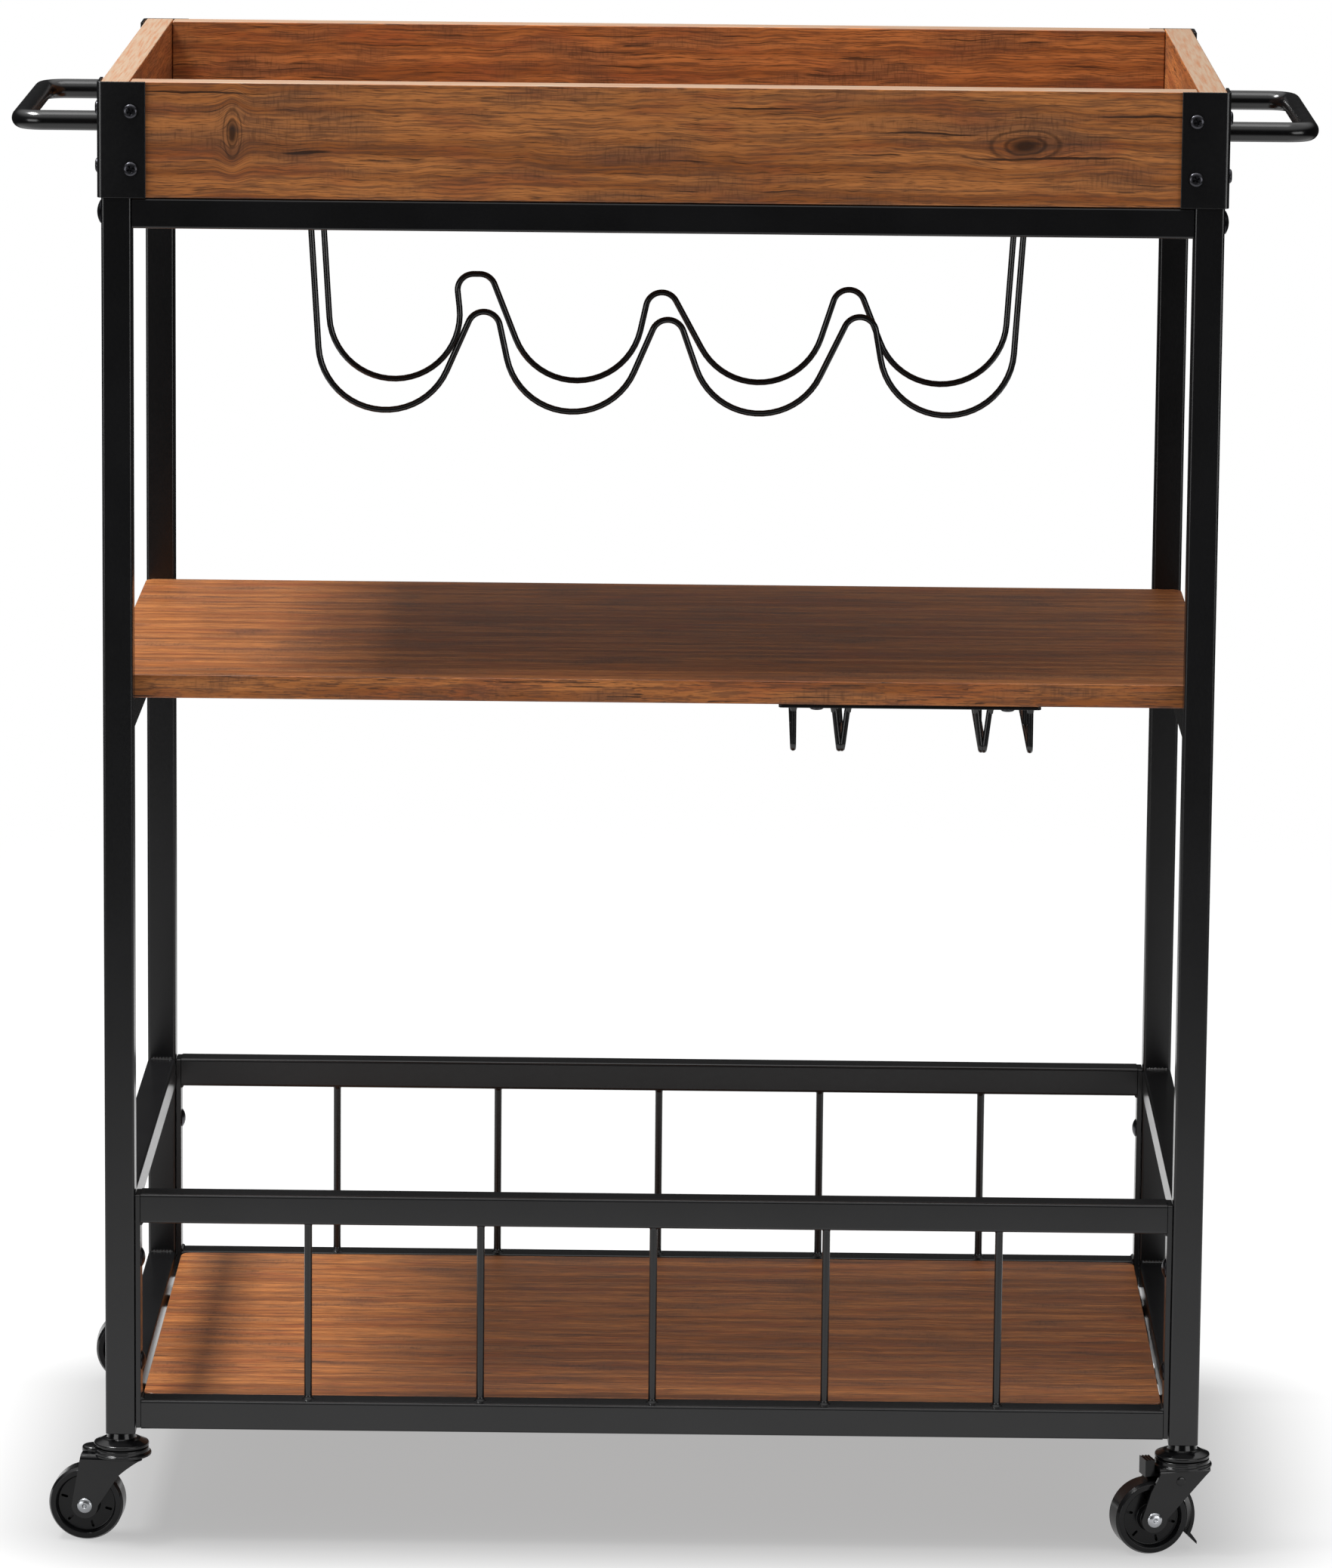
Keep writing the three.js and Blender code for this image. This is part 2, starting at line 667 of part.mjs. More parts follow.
// The second strip has a hanger over each rail, or over each pair of rails
const hangerY = glassFrontY + glassHangerBack;
const hangerFoot = glassFootZ + glassWire / 2 + fitGap;
const hangerLength = glassStripBottom - hangerFoot + weldSink;
const hangerMiddle = hangerFoot + hangerLength / 2;
const hangerPlaces = [glassRails[0], glassRails[1] + railPair, glassRails[3] + railPair, glassRails[5]];
const hangers = hangerPlaces.map((x) =>
  barAlongZ(hangerLength, glassWire / 2, barSides, x, hangerY, hangerMiddle),
);
addPiece(cart, 'glass_rack_strip_rear', weld([glassStrip(hangerY), ...hangers]), blackSteel);

// ---- Casters -----------------------------------------------------------------------------
// Each caster is drawn about its own swivel axis, with the wheel trailing towards +x.

const wheelRadius = wheelDiameter / 2;
const crownBottom = wheelDiameter + crownGap;
const cupTop = crownBottom + crownSheet + cupHeight;
const legInside = wheelWidth / 2 + forkSide;
const legOutside = legInside + forkSheet;

// Fixed part: kingpin with its rivet head, upper race, neck and the plug inside the post
function casterStem() {
  const pin = kingpin / 2;
  const raceTop = raceBottom + raceHeight;
  const plug = tube / 2 - tubeWall - fitGap;
  const profile = [
    [0, crownBottom - fitGap - rivetHeight],
    [rivetHead / 2, crownBottom - fitGap - rivetHeight],
    [rivetHead / 2, crownBottom - fitGap],
    [pin, crownBottom - fitGap],
    [pin, raceBottom],
    [raceRadius, raceBottom],
    [raceRadius, raceBottom + raceHeight / 2],
    [raceTopRadius, raceTop],
    [neckRadius, raceTop + neckHeight],
    [plug, raceTop + neckHeight],
    [plug, postBottom + stemPlugLength],
    [0, postBottom + stemPlugLength],
  ];
  return turned(profile, casterSides);
}

// Fork leg seen from the side: wide under the crown, round about the axle
function forkLeg() {
  const eye = axleHead / 2 + legEyeRim;
  const legTop = crownBottom + crownSheet / 2;
  const shape = new THREE.Shape();
  shape.moveTo(-legFrontReach, legTop);
  shape.quadraticCurveTo(-legFrontReach / 3, crownBottom - legWaist / 2, 0, crownBottom - legWaist);
  shape.absarc(casterTrail, wheelRadius, eye, Math.PI, Math.PI * 2);
  shape.lineTo(casterTrail + legBackReach, crownBottom - legWaist);
  shape.lineTo(casterTrail, legTop);
  shape.closePath();
  const hole = new THREE.Path();
  hole.absarc(casterTrail, wheelRadius, axleDiameter / 2 + runningGap, 0, Math.PI * 2, true);
  shape.holes.push(hole);
  const leg = new THREE.ExtrudeGeometry(shape, { depth: forkSheet, bevelEnabled: false, curveSegments: 5 });
  return leg.rotateX(Math.PI / 2);
}

function casterFork(braked) {
  const crown = barAlongZ(crownSheet, crownRadius, casterSides, 0, 0, crownBottom + crownSheet / 2);
  const cupMiddle = cupTop - (cupHeight + weldSink) / 2;
  const cup = barAlongZ(cupHeight + weldSink, raceRadius, casterSides, 0, 0, cupMiddle);
  const parts = [
    crown,
    cup,
    forkLeg().translate(0, legOutside, 0),
    forkLeg().translate(0, -legInside, 0),
  ];
  const bridgeLength = braked ? crownRadius - 2 * runningGap : casterTrail;
  const bridgeMiddle = crownBottom + crownSheet / 2;
  parts.push(boxAt(bridgeLength, 2 * legOutside, crownSheet, bridgeLength / 2, 0, bridgeMiddle));
  if (!braked) {
    const tongueX = casterTrail - tongueBack;
    parts.push(barAlongZ(cupHeight + weldSink, tongueRadius, casterSides, tongueX, 0, cupMiddle));
  }
  const pinHole = kingpin / 2 + runningGap;
  const holes = [barAlongZ(4 * (cupHeight + crownSheet), pinHole, casterSides, 0, 0, crownBottom)];
  if (braked) holes.push(acrossFork(brakePin / 2 + fitGap));
  return cut(weld(parts), holes);
}

// Wheel with a crowned tread and a recessed web on both sides; a facet lies on the floor
function casterWheel() {
  const w = wheelWidth / 2;
  const side = [
    [axleDiameter / 2 + runningGap, -w + fitGap],
    [wheelHub, -w + fitGap],
    [wheelHub, -wheelWeb / 2],
    [wheelRim, -wheelWeb / 2],
    [wheelRim, -w],
    [wheelRadius - wheelChamfer, -w],
    [wheelRadius, -w + 2 * wheelChamfer],
  ];
  const mirrored = side.map(([r, y]) => [r, -y]).reverse();
  const stretch = 1 / Math.cos(Math.PI / wheelSides);
  const profile = [...side, ...mirrored, side[0]].map(([r, y]) => new THREE.Vector2(r * stretch, y));
  return new THREE.LatheGeometry(profile, wheelSides, Math.PI / wheelSides);
}

// Pin along Y with a domed head outside each fork leg
function headedPin(radius, headRadius, headHeight) {
  const reach = legOutside + fitGap;
  const half = [
    [0, -reach - headHeight],
    [headRadius, -reach - headHeight / 2],
    [headRadius, -reach],
    [radius, -reach],
  ];
  const mirrored = half.map(([r, y]) => [r, -y]).reverse();
  return new THREE.LatheGeometry([...half, ...mirrored].map(([r, y]) => new THREE.Vector2(r, y)), pinSides);
}

const pinDistance = wheelRadius + brakePinAir;
const pinAngle = THREE.MathUtils.degToRad(brakePinAngle);
const pinX = casterTrail + pinDistance * Math.cos(pinAngle);
const pinZ = wheelRadius + pinDistance * Math.sin(pinAngle);

// Rocker bent round the wheel: a step block behind the crown, an eye on the pin and a release
// toe ahead of the wheel
function brakeRocker() {
  const inner = wheelRadius + brakeAir;
  const outer = inner + brakeSheet;
  const blockStart = crownRadius + brakeGap;
  const blockAngle = Math.acos((blockStart - casterTrail) / outer);
  const fromTop = Math.acos((blockStart + brakeBlock - casterTrail) / inner);
  const toToe = THREE.MathUtils.degToRad(brakeToeAngle);
  const at = (r, angle) => [casterTrail + r * Math.cos(angle), wheelRadius + r * Math.sin(angle)];
  const shape = new THREE.Shape();
  shape.moveTo(...at(inner, fromTop));
  shape.absarc(casterTrail, wheelRadius, inner, fromTop, toToe);
  const [toeX, toeZ] = at(inner, toToe);
  shape.lineTo(toeX - brakeToeReach, toeZ - brakeToeDrop);
  shape.lineTo(toeX - brakeToeReach, toeZ - brakeToeDrop + brakeToeTip);
  shape.absarc(casterTrail, wheelRadius, outer, toToe - brakeSheet / outer, blockAngle, true);
  shape.lineTo(blockStart, cupTop + brakeBlockRise);
  shape.lineTo(blockStart + brakeBlock, cupTop + brakeBlockRise);
  shape.closePath();
  const options = { depth: brakeWidth, bevelEnabled: false, curveSegments: 9 };
  const rocker = new THREE.ExtrudeGeometry(shape, options);
  rocker.rotateX(Math.PI / 2).translate(0, brakeWidth / 2, 0);
  const eye = new THREE.CylinderGeometry(brakeEye, brakeEye, brakeWidth, pinSides).translate(pinX, 0, pinZ);
  return cut(weld([rocker, eye]), [acrossFork(brakePin / 2 + runningGap)]);
}

// Round bar across the fork at the brake pin's place
function acrossFork(radius) {
  return new THREE.CylinderGeometry(radius, radius, 4 * legOutside, pinSides).translate(pinX, 0, pinZ);
}

for (const corner of corners) {
  const braked = brakedCasters.includes(corner.name);
  const caster = new THREE.Group();
  caster.position.set(corner.sx * postX, corner.sy * postY, 0);
  caster.rotation.z = THREE.MathUtils.degToRad(trailAngles[corner.name]);
  cart.add(caster);
  addPiece(caster, `caster_stem_${corner.name}`, casterStem(), blackSteel);
  addPiece(caster, `caster_fork_${corner.name}`, casterFork(braked), blackSteel);
  const wheel = addPiece(caster, `caster_wheel_${corner.name}`, casterWheel(), blackPlastic);
  const axlePin = headedPin(axleDiameter / 2, axleHead / 2, axleHeadHeight);
  const axle = addPiece(caster, `caster_axle_${corner.name}`, axlePin, zincSteel);
  wheel.position.set(casterTrail, 0, wheelRadius);
  axle.position.set(casterTrail, 0, wheelRadius);
  if (braked) {
    addPiece(caster, `brake_rocker_${corner.name}`, brakeRocker(), blackPlastic);
    const pinShape = headedPin(brakePin / 2, brakePinHead / 2, brakePinHeadHeight);
    const pin = addPiece(caster, `brake_pin_${corner.name}`, pinShape, blackSteel);
    pin.position.set(pinX, 0, pinZ);
  }
}

export default cart;
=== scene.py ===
"""Bar cart on wheels: the finished surfaces of its frame, boards, racks and casters."""
import json
import math

import bmesh
import bpy
from bpy.props import FloatProperty, FloatVectorProperty, IntProperty, PointerProperty
from bpy.types import Operator, Panel, PropertyGroup
from mathutils import Matrix, Vector


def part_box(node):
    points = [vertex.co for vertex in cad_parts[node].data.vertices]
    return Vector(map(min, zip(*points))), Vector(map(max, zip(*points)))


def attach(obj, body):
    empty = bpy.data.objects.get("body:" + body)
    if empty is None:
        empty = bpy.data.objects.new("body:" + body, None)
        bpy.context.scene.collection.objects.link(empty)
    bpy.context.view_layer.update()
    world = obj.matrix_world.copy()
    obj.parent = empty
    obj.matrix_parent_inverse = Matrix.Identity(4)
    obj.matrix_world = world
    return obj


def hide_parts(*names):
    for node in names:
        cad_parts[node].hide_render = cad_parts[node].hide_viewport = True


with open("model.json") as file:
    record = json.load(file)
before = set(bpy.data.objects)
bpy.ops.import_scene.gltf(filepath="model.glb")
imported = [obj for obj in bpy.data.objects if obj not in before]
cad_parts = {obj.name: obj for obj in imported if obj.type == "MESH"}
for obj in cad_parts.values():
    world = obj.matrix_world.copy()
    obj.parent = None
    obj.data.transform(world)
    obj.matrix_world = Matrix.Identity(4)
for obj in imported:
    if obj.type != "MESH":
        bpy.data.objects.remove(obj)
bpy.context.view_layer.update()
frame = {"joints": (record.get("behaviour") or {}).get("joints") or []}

bl_info = {
    "name": "Bar Cart",
    "version": (1, 0, 0),
    "blender": (4, 5, 0),
    "location": "View3D > Sidebar > Bar Cart",
    "description": "Builds the finished pieces of a bar cart around its design frame",
    "category": "Object",
}

MM = 0.001
GAP = 0.3 * MM  # air that the design frame keeps between two pieces that touch
CORNERS = {"front_left": (-1, -1), "front_right": (1, -1), "rear_left": (-1, 1), "rear_right": (1, 1)}
SIDES = {"left": -1, "right": 1}
ENDS = {"front": -1, "rear": 1}
BRAKED = ("front_right", "rear_right")
JOINTS = {joint["name"]: joint for joint in frame["joints"]}

# Frames whose own Z runs along a main axis and whose X and Y stay on the other two
ALONG_X = Matrix(((0, 0, 1), (1, 0, 0), (0, 1, 0))).to_4x4()
ALONG_Y = Matrix(((0, 1, 0), (0, 0, 1), (1, 0, 0))).to_4x4()
ALONG_Z = Matrix.Identity(4)


def extent(node):
    """Middle and size of a node of the design frame."""
    low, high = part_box(node)
    return (low + high) / 2, high - low


POST_MIDDLE, POST_SIZE = extent("post_front_right")
TUBE = POST_SIZE.x


# ---- Sizes and colours that a user may change ------------------------------------------------


def linear(code):
    """Linear colour with full alpha from an sRGB hex code."""
    shares = [int(code[i:i + 2], 16) / 255 for i in (1, 3, 5)]
    return (*[s / 12.92 if s <= 0.04045 else ((s + 0.055) / 1.055) ** 2.4 for s in shares], 1.0)


def length(name, description, millimetres):
    """Length property whose default is given in millimetres."""
    return FloatProperty(
        name=name, description=description, default=millimetres * MM, min=0.0, unit="LENGTH", precision=5
    )


def colour(name, description, code):
    """Colour property whose default is an sRGB hex code."""
    return FloatVectorProperty(
        name=name, description=description, default=linear(code), size=4, min=0.0, max=1.0, subtype="COLOR"
    )


class FrameSizes(PropertyGroup):
    """Tubes, basket and boards"""

    wall: length("Tube wall", "Thickness of the square tube's wall", 1.2)
    corner: length("Tube corner", "Outer corner radius of the square tube", 1.8)
    bead: length("Weld bead", "Radius of the weld beads", 1.5)
    basket_wire: length("Basket wire", "Diameter of the basket's upright wires", 5.0)
    basket_wires: IntProperty(
        name="Basket wires", description="Uprights in one basket panel", default=5, min=1
    )
    end_plate: length("End plate", "Thickness of the plates that close a basket panel", 3.3)
    basket_bolts: length("Basket bolt spread", "Between the two bolts of a basket panel's end", 68.0)
    shelf_corner: length("Shelf corner", "Corner radius of the shelves", 7.0)
    arris: length("Board arris", "Rounding of the boards' edges", 0.9)
    groove: length("Groove depth", "Depth of the groove for the tray floor", 6.0)
    tongue: length("Tongue", "Thickness of the tray floor's edge", 6.0)
    tab_inset: length("Tab inset", "Middle of a shelf tab from the rail's end", 70.0)


class HardwareSizes(PropertyGroup):
    """Bolts, screws, brackets and handles"""

    rail_head: length("Rail bolt head", "Diameter of the bolt heads on the posts", 14.5)
    rail_rise: length("Rail bolt rise", "Height of the bolt heads on the posts", 2.7)
    basket_head: length("Basket bolt head", "Diameter of the bolt heads in the basket", 12.0)
    screw_head: length("Screw head", "Diameter of the pan-head screws", 9.0)
    screw_rise: length("Screw rise", "Height of the pan-head screws", 2.5)
    bracket_sheet: length("Bracket sheet", "Thickness of the corner brackets", 2.0)
    bracket_bend: length("Bracket bend", "Outer bend radius of the corner brackets", 3.0)
    screw_inset: length("Screw inset", "Bracket screws from the tray's corner", 21.0)
    screw_spread: length("Screw spread", "Between the two screws on a bracket's face", 36.0)
    handle_bar: length("Handle bar", "Diameter of the handle bars", 12.7)
    handle_bend: length("Handle bend", "Bend radius on the handle's centre line", 15.0)


class RackSizes(PropertyGroup):
    """Bottle rack and glass rack"""

    wire: length("Bottle wire", "Diameter of the bottle rack's wire", 4.0)
    pitch: length("Cradle pitch", "Between two bottle cradles", 120.0)
    cradles: IntProperty(name="Cradles", description="Bottle cradles", default=4, min=2)
    crest: length("Crest radius", "Bend between two cradles", 10.5)
    ease: length("Cradle ease", "Sideways room between a cradle's bend and a crest's bend", 6.5)
    rise: length("Crest rise", "From a cradle's bottom to the crest", 62.0)
    overhang: length("Strip overhang", "Bottle rack strip beyond the wire's legs", 15.0)
    strip: length("Strip sheet", "Thickness of the bottle rack's strips", 3.0)
    glass_wire: length("Glass wire", "Diameter of the glass rack's wires", 3.8)
    glass_bend: length("Glass bend", "Bend radius of the glass rack's wires", 4.0)
    glass_strip: length("Glass strip", "Thickness of the glass rack's strips", 2.2)
    glass_weld: length("Glass weld", "From a shared weld's middle to each of its two feet", 0.9)
    glass_lean: length("Glass lean", "How far a leg's top stands off its foot", 2.4)


class CasterSizes(PropertyGroup):
    """Casters and brakes"""

    crown: length("Crown radius", "Radius of the fork's flange", 19.3)
    race: length("Race radius", "Radius of the upper race", 17.6)
    crown_gap: length("Crown gap", "From the wheel's tread to the fork", 7.5)
    sheet: length("Fork sheet", "Thickness of the fork's sheet", 2.0)
    cup: length("Cup height", "Height of the fork's pressed cup", 3.5)
    fork_side: length("Fork side", "Air between the wheel and a fork leg", 1.5)
    bend: length("Fork bend", "Outer bend radius of the fork's sheet", 3.2)
    axle: length("Axle", "Diameter of the axle", 6.0)
    axle_head: length("Axle head", "Diameter of the axle's head", 10.0)
    eye: length("Fork eye", "Radius of the fork round the axle", 8.5)
    hub: length("Hub radius", "Radius of the wheel's hub", 8.4)
    rim: length("Rim radius", "Inner radius of the wheel's raised rim", 19.2)
    slot: length("Slot depth", "Depth of the slots in each face of the wheel's web", 3.0)
    web: length("Web", "Width across the wheel's recessed web", 10.0)
    brake_air: length("Brake air", "Between the tread and the brake rocker", 3.2)
    brake_sheet: length("Brake sheet", "Thickness of the brake rocker", 2.0)
    brake_width: length("Brake width", "Width of the brake rocker", 13.0)
    brake_pin: length("Brake pin", "Diameter of the brake's pin", 4.0)


class Finishes(PropertyGroup):
    """Colours of the finishes"""

    powder: colour("Powder coat", "Satin black of the frame", "#0E0E0F")
    wire: colour("Wire coat", "Gloss black of the racks and handles", "#0B0B0C")
    oxide: colour("Black oxide", "Bolts and screws", "#404044")
    walnut_light: colour("Walnut light", "Early wood in the printed walnut", "#B5733F")
    walnut_mid: colour("Walnut", "Middle tone of the printed walnut", "#8C5229")
    walnut_dark: colour("Walnut dark", "Late wood in the printed walnut", "#4F301E")
    walnut_crack: colour("Walnut cracks", "Cracks and knots in the printed walnut", "#22150F")
    walnut_smoke: colour("Walnut smoke", "Greyish stains in the printed walnut", "#5C463A")
    walnut_red: colour("Walnut red", "Reddish stains in the printed walnut", "#96512E")
    edge_band: colour("Edge band", "Pale edge band on the tray", "#927C67")
    caster: colour("Caster steel", "Gloss black of the forks and races", "#0A0A0B")
    nylon: colour("Wheel nylon", "Moulded wheels and brake rockers", "#0D0D0E")
    zinc: colour("Zinc", "Bright zinc of the axles", "#9FA1A4")
    floor: colour("Floor", "Studio floor", "#4A4A4A")


# ---- Outlines --------------------------------------------------------------------------------


def arc(middle, radius, start, end, steps):
    """Points on an arc from one angle to another, in degrees."""
    angles = [math.radians(start + (end - start) * i / steps) for i in range(steps + 1)]
    return [(middle[0] + radius * math.cos(a), middle[1] + radius * math.sin(a)) for a in angles]


def rounded(points, radius, steps=4, closed=True):
    """The outline with its corners turned into arcs, each no larger than its two sides allow."""
    result = []
    for i, corner in enumerate(points):
        here = Vector(corner)
        if not closed and i in (0, len(points) - 1):
            result.append(here)
            continue
        back = Vector(points[i - 1]) - here
        ahead = Vector(points[(i + 1) % len(points)]) - here
        half = back.angle(ahead) / 2
        if radius <= 0 or half > math.radians(87):
            result.append(here)
            continue
        reach = min(radius / math.tan(half), 0.48 * back.length, 0.48 * ahead.length)
        size = reach * math.tan(half)
        back.normalize()
        ahead.normalize()
        middle = here + (back + ahead).normalized() * (size / math.sin(half))
        start = here + back * reach - middle
        end = here + ahead * reach - middle
        first = math.atan2(start.y, start.x)
        sweep = (math.atan2(end.y, end.x) - first + math.pi) % math.tau - math.pi
        for k in range(steps + 1):
            turn = first + sweep * k / steps
            result.append(middle + size * Vector((math.cos(turn), math.sin(turn))))
    return result


def rectangle(width, height, radius, steps=4):
    """Rounded rectangle about the origin."""
    x, y = width / 2, height / 2
    return rounded([(-x, -y), (x, -y), (x, y), (-x, y)], radius, steps)


def bent_run(stations, radius, steps=10):
    """Centre line along straight runs whose corners are bent to one radius."""
    points = [Vector(stations[0])]
    for before, corner, after in zip(stations, stations[1:], stations[2:]):
        corner = Vector(corner)
        back = (Vector(before) - corner).normalized()
        ahead = (Vector(after) - corner).normalized()
        half = back.angle(ahead) / 2
        middle = corner + (back + ahead).normalized() * (radius / math.sin(half))
        start = corner + back * (radius / math.tan(half)) - middle
        end = corner + ahead * (radius / math.tan(half)) - middle
        axis = start.cross(end).normalized()
        for k in range(steps + 1):
            points.append(Matrix.Rotation(start.angle(end) * k / steps, 3, axis) @ start + middle)
    points.append(Vector(stations[-1]))
    return points


def belt(start, bends, end, step):
    """Wire path in the x-z plane of round bends joined by tangents. A bend is (x, z, radius), and
    its radius is negative where the wire turns clockwise."""
    stops = [(*start, 0.0), *bends, (*end, 0.0)]
    headings = []
    for (x0, z0, r0), (x1, z1, r1) in zip(stops, stops[1:]):
        run = math.sqrt((x1 - x0) ** 2 + (z1 - z0) ** 2 - (r1 - r0) ** 2)
        headings.append(math.atan2(z1 - z0, x1 - x0) - math.atan2(r1 - r0, run))
    points = [start]
    for (x, z, r), heading, following in zip(bends, headings, headings[1:]):
        way = math.copysign(1, r)
        turn = way * ((way * (following - heading)) % math.tau)
        steps = max(1, math.ceil(abs(turn) / step))
        for k in range(steps + 1):
            angle = heading + turn * k / steps
            points.append((x + r * math.sin(angle), z - r * math.cos(angle)))
    return [*points, end]


# ---- Mesh making -----------------------------------------------------------------------------


def loft(bm, rings, loop=False, cap=False):
    """Skin from ring to ring. A ring of one point is a tip, loop joins the last ring to the first."""
    rows = [[bm.verts.new(point) for point in ring] for ring in rings]
    for row, other in zip(rows, rows[1:] + (rows[:1] if loop else [])):
        count = max(len(row), len(other))
        for i in range(count):
            j = (i + 1) % count
            if len(row) == 1:
                bm.faces.new((row[0], other[j], other[i]))
            elif len(other) == 1:
                bm.faces.new((row[i], row[j], other[0]))
            else:
                bm.faces.new((row[i], row[j], other[j], other[i]))
    if cap:
        bm.faces.new(rows[0][::-1])
        bm.faces.new(rows[-1])


def lifted(outline, height, place):
    """Flat outline at a height in its own frame, put in place."""
    return [place @ Vector((x, y, height)) for x, y in outline]


def plate(bm, outline, low, high, place=ALONG_Z):
    """Prism of an outline between two heights of its own frame."""
    loft(bm, [lifted(outline, low, place), lifted(outline, high, place)], cap=True)


def slab(bm, width, depth, low, high, corner, arris, middle=(0, 0), steps=4):
    """Board with rounded corners and rounded arrises."""
    place = Matrix.Translation((middle[0], middle[1], 0))
    rings = []
    for way, level in ((1, low + arris), (-1, high - arris)):
        for k in range(steps + 1):
            angle = math.pi / 2 * (k / steps if way > 0 else 1 - k / steps)
            inset = arris * (1 - math.sin(angle))
            height = level - way * arris * math.cos(angle)
            outline = rectangle(width - 2 * inset, depth - 2 * inset, max(corner - inset, 0.1 * MM))
            rings.append(lifted(outline, height, place))
    loft(bm, rings, cap=True)


def square_tube(bm, start, end, place, size, wall, corner):
    """Square tube between two heights of its own frame, open at both ends."""
    edge = 0.2 * MM
    outer = rectangle(size, size, corner)
    eased = rectangle(size - 2 * edge, size - 2 * edge, corner - edge)
    inner = rectangle(size - 2 * wall, size - 2 * wall, corner - wall)
    levels = [
        (eased, start), (outer, start + edge), (outer, end - edge),
        (eased, end), (inner, end), (inner, start),
    ]
    loft(bm, [lifted(outline, height, place) for outline, height in levels], loop=True)


def turned(bm, profile, place=ALONG_Z, sides=40):
    """Piece turned about the Z of its own frame from (radius, height) pairs."""
    rings = []
    for radius, height in profile:
        if radius < 1e-7:
            rings.append([place @ Vector((0, 0, height))])
        else:
            rings.append(lifted(arc((0, 0), radius, 0, 360, sides)[:-1], height, place))
    closed = len(rings[0]) > 1 and len(rings[-1]) > 1
    loft(bm, rings, loop=closed)


def swept(bm, points, radii, sides=18):
    """Round bar along a centre line, with rounded tips. radii is one radius, or one per point."""
    points = [Vector(point) for point in points]
    last = len(points) - 1
    if isinstance(radii, float):
        radii = [radii] * len(points)
    tangents = [(points[min(i + 1, last)] - points[max(i - 1, 0)]).normalized() for i in range(last + 1)]
    across = tangents[0].orthogonal().normalized()
    rings = []
    for i, (point, tangent, radius) in enumerate(zip(points, tangents, radii)):
        if i:
            across.rotate(tangents[i - 1].rotation_difference(tangent))
        other = tangent.cross(across)
        circle = [across * x + other * y for x, y in arc((0, 0), radius, 0, 360, sides)[:-1]]
        ring = [point + spoke for spoke in circle]
        tip = [point + 0.7 * spoke for spoke in circle]
        if i == 0:
            rings += [[point], tip, [v + 0.3 * radius * tangent for v in ring]]
        elif i == last:
            rings += [[v - 0.3 * radius * tangent for v in ring], tip, [point]]
        else:
            rings.append(ring)
    loft(bm, rings)


def bead(bm, start, end, radius, pitch=2.2 * MM):
    """Weld bead with the ripple that each drop of weld leaves."""
    start, end = Vector(start), Vector(end)
    steps = max(6, round(4 * (end - start).length / pitch))
    points = [start.lerp(end, k / steps) for k in range(steps + 1)]
    swept(bm, points, [radius * (1 + 0.16 * math.sin(math.tau * k / 4)) for k in range(steps + 1)], 12)


def combine(shape, tool, operation):
    """Joins, cuts or intersects two closed bodies and gives back the result."""
    workers = []
    for body in (shape, tool):
        bmesh.ops.recalc_face_normals(body, faces=body.faces)
        mesh = bpy.data.meshes.new("work")
        body.to_mesh(mesh)
        body.free()
        worker = bpy.data.objects.new("work", mesh)
        bpy.context.scene.collection.objects.link(worker)
        workers.append(worker)
    modifier = workers[0].modifiers.new("combine", "BOOLEAN")
    modifier.operation = operation
    modifier.solver = "EXACT"
    modifier.object = workers[1]
    evaluated = workers[0].evaluated_get(bpy.context.evaluated_depsgraph_get())
    result = bmesh.new()
    result.from_mesh(evaluated.to_mesh())
    evaluated.to_mesh_clear()
    for worker in workers:
        mesh = worker.data
        bpy.data.objects.remove(worker)
        bpy.data.meshes.remove(mesh)
    return result


def add_copy(bm, source, place):
    """Adds a placed copy of another mesh."""
    copy = source.copy()
    copy.transform(place)
    mesh = bpy.data.meshes.new("copy")
    copy.to_mesh(mesh)
    copy.free()
    bm.from_mesh(mesh)
    bpy.data.meshes.remove(mesh)


def add_piece(name, bm, body, materials, replaces=(), bevel=0.0, choose=None):
    """Turns a mesh into a piece that rides on a body. choose gives a face's material number."""
    bmesh.ops.recalc_face_normals(bm, faces=bm.faces)
    mesh = bpy.data.meshes.new(name)
    bm.to_mesh(mesh)
    bm.free()
    for material in materials:
        mesh.materials.append(material)
    if choose:
        for polygon in mesh.polygons:
            polygon.material_index = choose(polygon)
    mesh.shade_smooth()
    piece = bpy.data.objects.new(name, mesh)
    bpy.context.scene.collection.objects.link(piece)
    if bevel:
        modifier = piece.modifiers.new("arrises", "BEVEL")
        modifier.width = bevel
        modifier.segments = 3
        modifier.limit_method = "ANGLE"
        modifier.angle_limit = math.radians(35)
        modifier.harden_normals = True
    else:
        mesh.set_sharp_from_angle(angle=math.radians(38))
        piece.modifiers.new("normals", "WEIGHTED_NORMAL").keep_sharp = True
    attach(piece, body)
    if replaces:
        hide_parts(*replaces)
    return piece


# ---- Materials -------------------------------------------------------------------------------


def add_node(tree, kind, settings=None, links=None):
    """A node with its settings and links. A key that names an input, or counts to it, sets that input."""
    node = tree.nodes.new(kind)
    for key, value in (settings or {}).items():
        if isinstance(key, int) or key in node.inputs:
            node.inputs[key].default_value = value
        else:
            setattr(node, key, value)
    for key, source in (links or {}).items():
        tree.links.new(source, node.inputs[key])
    return node


